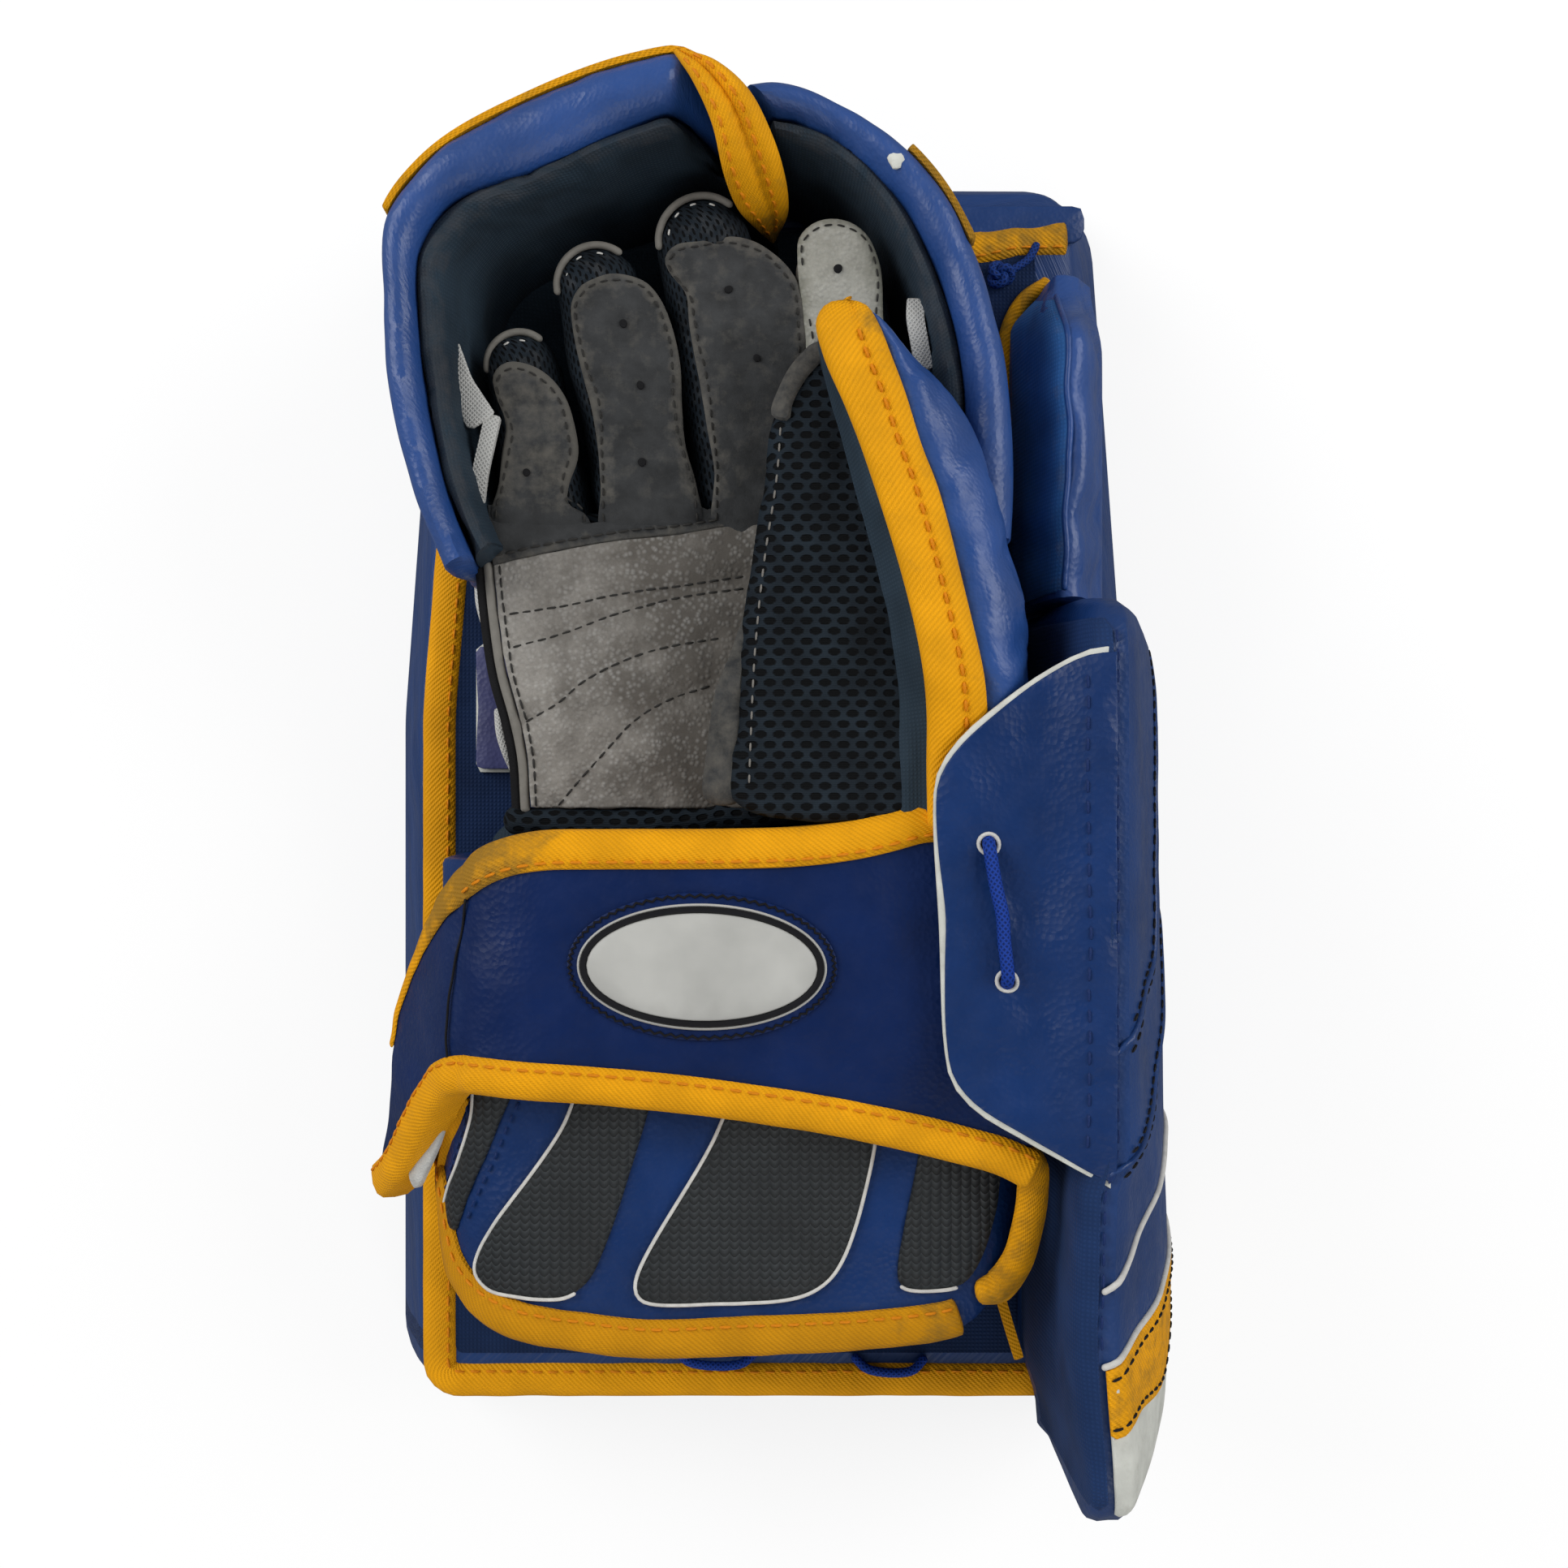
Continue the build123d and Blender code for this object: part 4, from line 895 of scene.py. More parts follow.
WALL_FACE = [(77.6, 107.9), (80.4, 107.2), (83.4, 103), (88.2, 91.5), (94.6, 74.5), (99.2, 59.5),
             (102.6, 42), (104.4, 24), (104.45, 5)]
WALL_INSIDE = [(66.2, 36), (67.2, 50), (69.3, 72), (71.4, 92), (72.5, 101.5), (73.6, 106), (75.4, 107.9),
               (76.8, 108)]


def wall_limit(y):
    """The ridge's height along the wall, with a rounded corner at each end."""
    fall = 0
    for gap, radius in ((y - WALL_LOW_Y, WALL_CORNERS[0]), (WALL_HIGH_Y - y, WALL_CORNERS[1])):
        short = radius - np.clip(gap, 0, radius)
        fall = fall + radius - np.sqrt(np.maximum(radius ** 2 - short ** 2, 0))
    return WALL_RIDGE - fall


def shaped_wall(points):
    """The wall's straight section pressed down towards both of its ends, with soft folds."""
    points = points.copy()
    points[..., 0] -= np.interp(points[..., 1], *WALL_WAIST) * smooth(78, 105, points[..., 2])
    points[..., 0] += np.clip(73 - points[..., 0], 0, 6) * 0.8 * smooth(-138, -160, points[..., 1])
    share = (wall_limit(points[..., 1]) - WALL_BASE) / (WALL_RIDGE - WALL_BASE)
    above = points[..., 2] > WALL_BASE
    points[..., 2] = np.where(above, WALL_BASE + (points[..., 2] - WALL_BASE) * share, points[..., 2])
    end = np.minimum(points[..., 1] - WALL_LOW_Y, WALL_HIGH_Y - points[..., 1])
    tight = 3.4 * (1 - np.sqrt(np.clip(1 - (1 - np.clip(end / 5, 0, 1)) ** 2, 0, 1)))
    centre = np.stack([np.full(points.shape[:-1], 85.0), points[..., 1], np.full(points.shape[:-1], 45.0)],
                      -1)
    points += unit(centre - points) * tight[..., None]
    lean = np.interp(points[..., 1], *WALL_LEAN)
    points[..., 0] -= lean * np.clip((points[..., 0] - 79) / 24, 0, 1)
    folds = ripples(points * [1, 1, 0.45], 42, 8) * 0.55 + ripples(points * [1, 1, 0.3], 17, 9) * 0.22
    points[..., 0] -= (folds + 0.5) * smooth(36, 60, points[..., 2]) * (1 - 0.75 * smooth(92, 104,
                                                                                          points[..., 2]))
    return points


class OnWall(Bent):
    """The side wall's surface, bent and shaped as the wall is."""

    def __call__(self, flat, lift=0.0):
        return shaped_wall(super().__call__(flat, lift))


WALL_SEAMS = [[(-0.2, -56.5), (15, -46), (29.6, -37.6), (37.2, -9.5), (48, 16), (66, 34)],
              [(-0.2, -82.8), (14, -77), (29.6, -70.5), (45.6, -57.6), (66, -38), (100, -20)]]
WALL_PIPES = [[(0.4, -108.4), (16.8, -99.8), (29.6, -94.3), (60, -86), (100, -82)],
              [(0.4, -124.8), (12, -121.8), (26.4, -119.2), (54.1, -113.6), (80, -110), (104, -108)]]
WALL_GOLD = ([(0.6, -125.6), (12, -122.6), (26.4, -120), (54.1, -114.5), (80, -111), (104, -109)],
             [(0.6, -140.5), (14.2, -139), (39.4, -139.2), (54.1, -132), (80, -127), (104, -124)])


def make_wall():
    rings = extruded(curve(WALL_RING, 84, True), WALL_LOW_Y, WALL_HIGH_Y, 3.0)

    def worn(p):
        ridge, low_end = 0.2 * smooth(100, 108, p[:, 2]), 0.35 * smooth(-100, -160, p[:, 1])
        return ridge + 0.5 * smooth(95, 104, p[:, 0]) * smooth(70, 40, p[:, 2]) * 0.4 + low_end

    body = tube("side_wall_skin", shaped_wall(rings), "vinyl", None, wear=worn)
    settle(body, "vinyl_blue", ["side_wall_cover", "side_wall_core"], fill=0.9)
    inside = OnWall(WALL_INSIDE)
    length = inside.lengths[-1]
    patch = [(1, WALL_LOW_Y + 4), (length, WALL_LOW_Y + 8), (length, WALL_HIGH_Y - 6), (1, WALL_HIGH_Y - 3)]
    lining = plate("side_wall_inner_cloth", inside, np.array(patch), 0.7, "nylon", spacing=4.0, wear=0.0)
    settle(lining, "nylon_navy", ["side_wall_lining"])
    outer = OnWall(WALL_FACE)
    ridge_row = outer(np.array([[-0.2, y] for y in np.arange(-122, WALL_HIGH_Y - 6, 2)]), 0.3)
    sewn("side_wall_ridge_stitches", [stitch_mesh(ridge_row, 3.0, 1.5, 0.35)], "navy thread", "vinyl_blue")
    upper, lower = WALL_GOLD
    band = np.vstack([curve(upper, 40), curve(lower, 40)[::-1]])
    settle(plate("side_wall_gold_band", outer, band, 0.75, "gold", spacing=3.0, base=0.35,
                 wear=lambda p: 0.25 + 0.5 * smooth(95, 104, p[:, 0])), "binding_gold")
    tip_top = curve([(s + 0.2, y + 7.5) for s, y in upper], 40) - [0, 12.0]
    tip = np.vstack([tip_top, [(lower[-1][0], WALL_LOW_Y + 3.5), (0.6, WALL_LOW_Y + 5.5)]])
    settle(plate("side_wall_white_tip", outer, tip, 0.6, "tip", spacing=3.0, wear=0.3), "grip_white")
    seams, rows = [], []
    for line in WALL_SEAMS:
        path = curve(line, 50)
        seams.append(tube_mesh(piped(outer, path, 0.9, 0.1), 0.8))
        for side in (-2.4, 2.4):
            row = beside(path, side)
            rows.append(stitch_mesh(outer(row[row[:, 0] > 2.4], 0.35), 2.6, 1.3, 0.32))
    sewn("side_wall_seams", seams, "vinyl", "vinyl_blue", wear=0.3)
    pipes = [tube_mesh(piped(outer, curve(line, 60), 0.75, 0.35), 0.7) for line in WALL_PIPES]
    sewn("side_wall_piping", pipes, "white thread", "lace_white")
    for line, side in ((upper, 2.2), (lower, -2.2)):
        path = curve(line, 60)
        rows.append(stitch_mesh(outer(beside(path, side), 1.15), 2.6, 1.2, 0.36))
    sewn("side_wall_stitches", rows, "black thread", "nylon_black")


# ---------------------------------------------------------------- lace flap
FLAP_EDGE = [(77.2, 31.5), (72, 31), (62, 26), (52, 19), (43.5, 11.5), (38.8, 4), (37.9, -4), (39.2, -30),
             (40.3, -56), (42, -64), (47, -70), (58, -76.5), (70, -83), (77.2, -86.5)]
FLAP_EYES = [(50, -11.5), (54, -41.5)]


def flap_height(p):
    sag = 0.5 * ripples(p, 26, 21) + 0.35 * ripples(p * [1, 0.6], 13, 22)
    over = 1.5 * np.exp(-((p[..., 0] - 45) / 7) ** 2) * smooth(-12, 2, p[..., 1])
    rise = (WALL_RIDGE - FLAP_TOP + 0.6) * smooth(58, 76, p[..., 0])
    return FLAP_TOP - 1.1 + rise + sag * smooth(38, 46, p[..., 0]) + over


def make_flap():
    place = Over(flap_height)
    edge = curve(FLAP_EDGE, 120)
    centre = edge.mean(0)
    inner = edge + unit(centre - edge) * 1.5
    inner[:, 0] = np.where(edge[:, 0] > 76, 77.4, inner[:, 0])
    under = Over(lambda p: flap_height(p) - 0.45 * smooth(68, 75, p[..., 0]))
    settle(plate("flap_cut_edge", under, np.minimum(edge, [76.2, 99]), 1.0, "tip", spacing=4.0, edge=0.3),
           "grip_white")
    flap = plate("flap_face", place, inner, 0.9, "flap", spacing=2.6, base=0.55, edge=0.35,
                 wear=lambda p: 0.12 + 0.35 * smooth(60, 76, p[:, 0]))
    settle(flap, "vinyl_blue", ["lace_flap"])
    rims = [tube_mesh(laid(place, np.array(eye) + circle(2.3, 20), circle(0.5, 8) + [0, 1.5], True),
                      loop=True) for eye in FLAP_EYES]
    shades = [plate_mesh(place, np.array(eye) + circle(2.1, 20), 1.55, edge=0.2, spacing=2.0)
              for eye in FLAP_EYES]
    sewn("flap_eyelets", rims, "white thread", "lace_white")
    sewn("flap_eyelet_shadows", shades, "felt", "nylon_black")
    (x0, y0), (x1, y1) = FLAP_EYES
    route = [(x0, y0 + 0.6, FLAP_TOP - 0.2), (x0, y0 - 1.0, FLAP_TOP + 2.0),
             (x0 + 1.2, y0 - 9, FLAP_TOP + 3.2), (52.6, -27, FLAP_TOP + 3.5),
             (x1 - 1, y1 + 9, FLAP_TOP + 3.2), (x1, y1 + 1, FLAP_TOP + 2.1), (x1, y1 - 0.6, FLAP_TOP - 0.2)]
    tie = cord("flap_cord", curve(route, 60), 1.5, "blue cord", 12)
    settle(tie, "lace_blue", ["flap_lace"])
    row = curve([(71.5, 26), (71.5, 0), (71.8, -40), (71.5, -78)], 90)
    sewn("flap_stitches", [stitch_mesh(place(row, 1.55), 3.0, 1.5, 0.33)], "navy thread", "vinyl_blue")


# ---------------------------------------------------------------- upper side pad
PAD_RING = [(63.9, 35.6), (65.6, 46), (68.2, 60), (70.4, 71), (71.8, 74.6), (73.2, 75.2), (74.6, 75.2),
            (76.0, 74.4), (78.6, 69.5), (82.8, 55), (87.5, 36), (87.3, 35.5), (76, 35.5)]
PAD_ENDS = (46.0, 130.0)


def shaped_pad(points):
    points = points.copy()
    y = points[..., 1]
    fall = smooth(106, 130, y)
    points[..., 2] = 35.5 + (points[..., 2] - 35.5) * (1 - 0.72 * fall)
    points[..., 0] += (points[..., 0] < 74) * (74 - points[..., 0]) * 0.85 * smooth(118, 131, y)
    points[..., 0] -= (points[..., 0] > 80) * (points[..., 0] - 80) * 0.4 * smooth(112, 131, y)
    points[..., 0] += (ripples(points * [0.2, 1, 0.5], 21, 31) * 0.9 - 0.4) * smooth(38, 55, points[..., 2])
    points[..., 2] += ripples(points, 15, 32) * 0.4 * smooth(50, 70, points[..., 2])
    return points


class OnPad(Bent):
    """The upper pad's surface, shaped as the pad is."""

    def __call__(self, flat, lift=0.0):
        return shaped_pad(super().__call__(flat, lift))


def make_upper_pad():
    rings = extruded(curve(PAD_RING, 64, True), *PAD_ENDS, 2.8)
    body = tube("upper_pad_skin", shaped_pad(rings), "roll", 1.2,
                wear=lambda p: 0.75 * smooth(66, 75, p[:, 2]) + 0.25)
    settle(puffed(body, 44, 0.8), "vinyl_blue", ["upper_pad_cover", "upper_pad_foam"], fill=0.8)
    inner = OnPad([(63.9, 36), (65.6, 46), (68.2, 60), (70.4, 71), (71.8, 74.4), (72.8, 75.2)])
    length = inner.lengths[-1]
    patch = np.array([(0.5, 47), (length, 47), (length, 122), (0.5, 127)])
    cloth = plate("upper_pad_inner_cloth", inner, patch, 0.7, "lit pad cloth", spacing=3.0,
                  wear=lambda p: 0.2 * smooth(62, 75, p[:, 2]))
    settle(cloth, "nylon_navy", ["upper_pad_lining"])
    seam = inner(np.array([[length + 0.3, y] for y in np.arange(48, 124, 1.5)]), 0.4)
    settle(cord("upper_pad_welt", seam, 0.75, "roll", 8, wear=0.2), "vinyl_blue")
    base = curve([(62.8, 68), (62.0, 90), (61.9, 108), (63.4, 119.5), (67.6, 127), (73.5, 131)], 70)
    band = [(2.0, -0.6), (2.1, 0.6), (1.4, 1.8), (0, 2.2), (-1.4, 1.8), (-2.1, 0.6), (-2.0, -0.6)]
    edge = tube("upper_pad_edging", laid(level(BACK_TOP + 0.6), base, band), "gold", 0.8, wear=0.45)
    settle(edge, "binding_gold", ["upper_pad_binding"])


# ---------------------------------------------------------------- guards round the fingers
GUARD_OUT = [(-71, 51), (-78, 68), (-83, 88), (-85, 112), (-84, 130), (-76, 141.5), (-61, 152), (-43, 160),
             (-29, 164.5), (-17, 166.5), (-8, 164), (0, 157.5)]
GUARD_SEAM = [(-65, 54), (-70, 67), (-74, 84), (-77, 105), (-77, 122), (-71.5, 132), (-58, 139),
              (-43, 145.4), (-29, 150.9), (-17.5, 154.4), (-11, 154), (-4, 151)]
GUARD_CREASE = [(-61, 57), (-65.5, 70), (-69.3, 86), (-71, 106), (-71, 121), (-66, 129.4), (-55, 135.3),
                (-42, 141.2), (-27, 147), (-15, 150), (-9, 149.6), (-2, 147)]
GUARD_FOOT = [(-58, 59), (-62, 71), (-65, 86), (-66.4, 105), (-66, 118), (-60.5, 126), (-52, 131),
              (-40.5, 136), (-25.5, 141.2), (-12, 144.5), (-6, 144.3), (1, 142)]
INDEX_OUT = [(-3.4, 161.8), (2, 162.3), (9.7, 160.5), (18.1, 157), (27.8, 150.8), (34.2, 145.7),
             (40.7, 138), (45.8, 129), (49.7, 120), (53.5, 106.4), (55.8, 93.5), (56.8, 84.8), (57.2, 70),
             (56.5, 58)]
INDEX_SEAM = [(2.5, 155.2), (7.8, 153.9), (17.1, 149.7), (25, 143.3), (31.5, 135.7), (36.5, 126.1),
              (40.4, 116.5), (43.6, 105.6), (45.5, 92.8), (45.9, 84.5), (46, 69), (45.5, 58)]
INDEX_CREASE = [(3, 150.8), (6.5, 149.6), (14.8, 145.6), (22, 139.8), (28, 132.5), (32.6, 123.7),
                (36.2, 114.6), (39.2, 104.2), (41, 92), (41.4, 84), (41.8, 69), (41.2, 58)]
INDEX_FOOT = [(3, 148.8), (5.8, 147.8), (13.8, 144), (20.8, 138.4), (26.6, 131.3), (31, 122.7),
              (34.6, 113.7), (37.6, 103.6), (39.4, 91.6), (39.9, 83.8), (40.4, 69), (40, 58)]
SAMPLES = 110


def rail(line, height, count=SAMPLES):
    """A plan line as a rail; the height is one number or one for each sample."""
    path = curve(line, count)
    return np.column_stack([path, np.broadcast_to(np.asarray(height, float), (count,))])


def at_height(a, share, b, height):
    """A rail a share of the way from one plan rail to the other, at a height."""
    line = between(a, b, share)
    line[:, 2] = height
    return line


def rails(a, b, *places):
    """Rails between two plan rails, each given by its share of the way and its height."""
    return [at_height(a, share, b, height) for share, height in places]


def folded(grid, size, depth, seed, low=40):
    """Soft folds pressed into lofted rings, along the direction away from their middle."""
    out = unit(grid - grid.mean(1, keepdims=True))
    amount = ripples(grid, size, seed) * depth + ripples(grid, size * 0.42, seed + 1) * depth * 0.35
    return grid + out * (amount * smooth(low, low + 14, grid[..., 2]))[..., None]


def make_guard(name, out, seam, crease, foot, rim, seed, fall=0.0):
    a, b, c, d = (rail(line, 0) for line in (out, seam, crease, foot))
    rise = rim - 1.5 + 0.6 * ripples(a[:, :2], 30, seed) - fall * smooth(-20, 3, a[:, 0])
    dip = rise - 6.5 - 0.25 * fall * smooth(-22, 0, a[:, 0])
    cover = loft(rails(a, b, (0.05, 36), (-0.02, rise * 0.65 + 12), (-0.03, rise - 10), (0.02, rise - 3.2),
                       (0.2, rise), (0.48, rise + 1.1), (0.78, rise - 0.3), (0.97, dip + 2.6), (0.96, dip),
                       (0.8, dip - 8), (0.74, 36)), 5)
    body = tube(name + "_skin", folded(cover, 24, 0.7, seed), "roll", 2.0,
                wear=lambda p: 0.1 + 0.85 * smooth(rim - 9, rim, p[:, 2]))
    lining = loft([*rails(b, c, (-0.2, 38), (-0.25, dip - 4), (0.04, dip + 1.5), (0.3, dip + 3.1),
                          (0.7, dip + 2.4), (1.0, dip - 2.5), (1.05, dip - 6)),
                          *rails(c, d, (0.4, 66), (0.7, 54), (1.0, 44), (0.9, 38))], 5)
    black = tube(name + "_inner_roll", folded(lining, 20, 0.8, seed + 5), "black", 1.2,
                 wear=lambda p: 0.5 * smooth(rim - 12, rim - 4, p[:, 2]))
    return body, black, a, rise


def make_guards():
    body, black, out, rise = make_guard("finger_guard", GUARD_OUT, GUARD_SEAM, GUARD_CREASE, GUARD_FOOT,
                                        GUARD_RIM, 41, 34.0)
    settle(puffed(body, 60), "vinyl_blue", ["finger_guard_cover", "finger_guard_foam"], fill=0.8)
    settle(puffed(black, 76, 0.7), "nylon_black", ["finger_guard_lining"], fill=0.7)
    index, inner, side, top = make_guard("index_guard", INDEX_OUT, INDEX_SEAM, INDEX_CREASE, INDEX_FOOT,
                                         INDEX_RIM, 51)
    settle(puffed(index, 60), "vinyl_blue", ["index_guard_cover", "index_guard_foam"], fill=0.8)
    settle(puffed(inner, 72, 0.7), "nylon_black", ["index_guard_lining"], fill=0.7)
    strip = [(-0.9, 3.2), (0.5, 2.8), (0.8, 0), (0.5, -2.8), (-0.9, -3.2)]
    thin = at_height(out[50:99], 0.0, out[50:99], rise[50:99] - 5)
    edge = swept(beside(thin, -1.5), strip)
    settle(tube("finger_guard_piping", edge, "gold", 0.6, wear=0.2), "binding_gold")
    thin = at_height(side[33:54], 0.0, side[33:54], top[33:54] - 4.5)
    edge = swept(beside(thin, -1.3), strip)
    settle(tube("index_guard_piping", edge, "gold", 0.6, wear=0.9), "binding_gold",
           ["index_guard_edge_binding"])
    second = rail(INDEX_SEAM, 0)
    crest = between(side, second, 0.45)
    at = int(np.argmin(np.linalg.norm(crest[:, :2] - (29.2, 142.1), axis=1)))
    turn = turned(30)
    reach = 1.9 + 0.25 * np.sin(3 * turn) + 0.15 * np.cos(7 * turn)
    chip = crest[at, :2] + circle(1.0, 30) * reach[:, None]
    settle(plate("index_guard_bare_spot", level(top[at] + 1.9), chip, 0.5, "tip", spacing=1.5, edge=0.3,
                 crown=0.3, base=-1.4), "grip_white")
    make_guard_end()


GUARD_END_IN = [(-19.5, 166.6, 93), (-15.3, 159.7, 96), (-10.9, 150.9, 94), (-8.3, 141.5, 88),
                (-5.5, 137, 78), (-1.5, 135.5, 68), (2.4, 135.2, 57)]
GUARD_END_OUT = [(-17, 167, 92), (-10.5, 164.4, 94), (-3.2, 158.3, 93.5), (1.8, 150.5, 89), (5, 143.5, 81),
                 (6, 138.5, 70), (3.4, 136.2, 58)]
END_SAMPLES = 46


def make_guard_end():
    a, b = curve(GUARD_END_IN, END_SAMPLES), curve(GUARD_END_OUT, END_SAMPLES)
    ends = np.sin(np.linspace(0.12, math.pi - 0.12, END_SAMPLES)) ** 0.35

    def line(share, lift):
        return between(a, b, share) + (lift * ends)[:, None] * [0, 0, 1]

    rings = loft([line(0.02, -2.4), line(-0.03, -0.4), line(0.06, 1.6), line(0.24, 2.6), line(0.44, 2.0),
                  line(0.52, 0.9), line(0.6, 2.1), line(0.8, 3.1), line(0.97, 1.4), line(1.03, -0.6),
                  line(0.95, -2.6), line(0.5, -2.8)], 3)
    body = tube("finger_guard_edging", rings, "gold", 1.0, wear=lambda p: 0.15 + 0.5 * smooth(75, 60,
                                                                                              p[:, 2]))
    settle(body, "binding_gold", ["finger_guard_binding"], fill=0.7)

    def web(share, drop):
        """The line under the binding, let down by a share of the way to the floor pad."""
        row = line(share, 0)
        row[:, 2] = row[:, 2] * (1 - drop) + 41 * drop - 1.2
        return row

    under = loft([web(0.25, 0), web(0.75, 0), web(0.72, 0.35), web(0.68, 0.7), web(0.65, 1), web(0.35, 1),
                  web(0.32, 0.7), web(0.28, 0.35)], 3)
    settle(tube("finger_guard_end_web", under, "black", 1.5, wear=0.0), "nylon_black", fill=0.7)
    rows = [stitch_mesh(line(share, lift)[2:-2], 2.6, 1.2, 0.34, (0.4, 0.3, 0.85))
            for share, lift in ((0.13, 2.3), (0.66, 2.8))]
    sewn("finger_guard_edging_stitches", rows, "gold thread", "binding_gold")


# ---------------------------------------------------------------- fingers
FINGERS = {
    "pinky": ((-51, 62), (-57.5, 101), 11.0, 8.6),
    "ring": ((-27.5, 64), (-39.3, 120), 11.3, 10.2),
    "middle": ((-2.5, 65), (-14, 130.5), 12.6, 11.4),
    "index": ((24.5, 64), (18.5, 122), 12.4, 10.5),
}
PATCHES = {
    "pinky": [(-63.2, 62), (-61.5, 72), (-60.9, 78.7), (-60.1, 86.3), (-62.4, 92.9), (-63, 97.3),
              (-60.1, 100.2), (-55.8, 100.2), (-50.1, 97.3), (-45.9, 92), (-43.8, 85.3), (-43, 78.7),
              (-45.3, 71.1), (-45.4, 67.3), (-41, 64.4), (-40.2, 58)],
    "ring": [(-37.3, 58), (-37.7, 71.1), (-38.7, 82.5), (-40, 90.1), (-42.5, 99.6), (-44.4, 109.1),
             (-44.7, 114.8), (-42.5, 118.6), (-38.7, 120.9), (-33, 121.4), (-27.3, 119.5), (-23.5, 114.8),
             (-20.6, 107.2), (-19.1, 99.6), (-18.7, 90.1), (-17.8, 80.6), (-15.2, 71.1), (-14, 58)],
    "middle": [(-10.8, 58), (-11.1, 74.9), (-12.7, 84.4), (-14.6, 95.8), (-16.4, 105.3), (-17.2, 111),
               (-17.8, 116.7), (-22.1, 122.4), (-22.9, 125.2), (-20.6, 128.1), (-14.9, 129.6),
               (-7.3, 130.4), (-0.7, 128.6), (5, 124.3), (8.8, 118.6), (10.2, 109.1), (10.6, 100),
               (8.5, 84), (8.3, 58)],
    "index": [(8.4, 124), (8.8, 130.2), (12.4, 133.6), (18, 134.4), (24, 131.4), (27.6, 124), (28.4, 112),
              (28.5, 98), (27.5, 84), (12, 84), (10.5, 98), (9.4, 112)],
}
PUNCHED = {"pinky": [(-54.9, 74.2)], "ring": [(-32.3, 109), (-28.3, 94.6), (-27.9, 76.5)],
           "middle": [(-7.7, 117), (-1.3, 101)],
           "index": [(17.9, 122)]}
FINGER_TOP, FINGER_HINGE_Z = 77.0, 77.0
ROOT_SPREAD = 5.0
STALL_HALF = 12.7


def finger_rings(root, tip, wide, narrow):
    """Rings of a stall from its root to its rounded tip, with the height of its back and palm sides."""
    root, tip = np.array(root, float), np.array(tip, float)
    ahead = unit(tip - root)
    side = np.array([ahead[1], -ahead[0]])
    reach = np.linalg.norm(tip - root)
    rings = []
    angles = turned(44)
    for along in [*np.linspace(-7, reach, 30), *(reach + narrow * np.sin(np.radians([14, 28, 42, 55, 66, 76,
                                                                                     84])))]:
        share = np.clip(along / reach, 0, 1)
        half = wide + (narrow - wide) * share
        past = max(0.0, (along - reach) / narrow)
        close = math.sqrt(max(1 - past ** 2, 0.004))
        half, tall = half * close, STALL_HALF * (0.45 + 0.55 * close)
        half += 0.35 * math.sin(along * 0.19) * (past == 0)
        x = np.sign(np.cos(angles)) * np.abs(np.cos(angles)) ** 0.72 * half
        z = np.sign(np.sin(angles)) * np.abs(np.sin(angles)) ** 0.72 * tall
        centre = root + ahead * along
        rings.append(np.column_stack([centre + side * x[:, None],
                                      FINGER_LOW + STALL_HALF + z - (past > 0) * past ** 2 * 2.0]))
    return np.array(rings)


def palm_height(p):
    crown = 0.9 * ripples(p, 24, 61) * 0.5 + 0.25 * ripples(p, 9, 62)
    tips = 1.6 * smooth(96, 135, p[..., 1])
    return FINGER_TOP + 0.9 + crown - tips


def face_height(p):
    """Height of a finger's face, which runs under the band of suede across the palm."""
    return palm_height(p) + 0.25 - 1.9 * smooth(66, 60, p[..., 1])


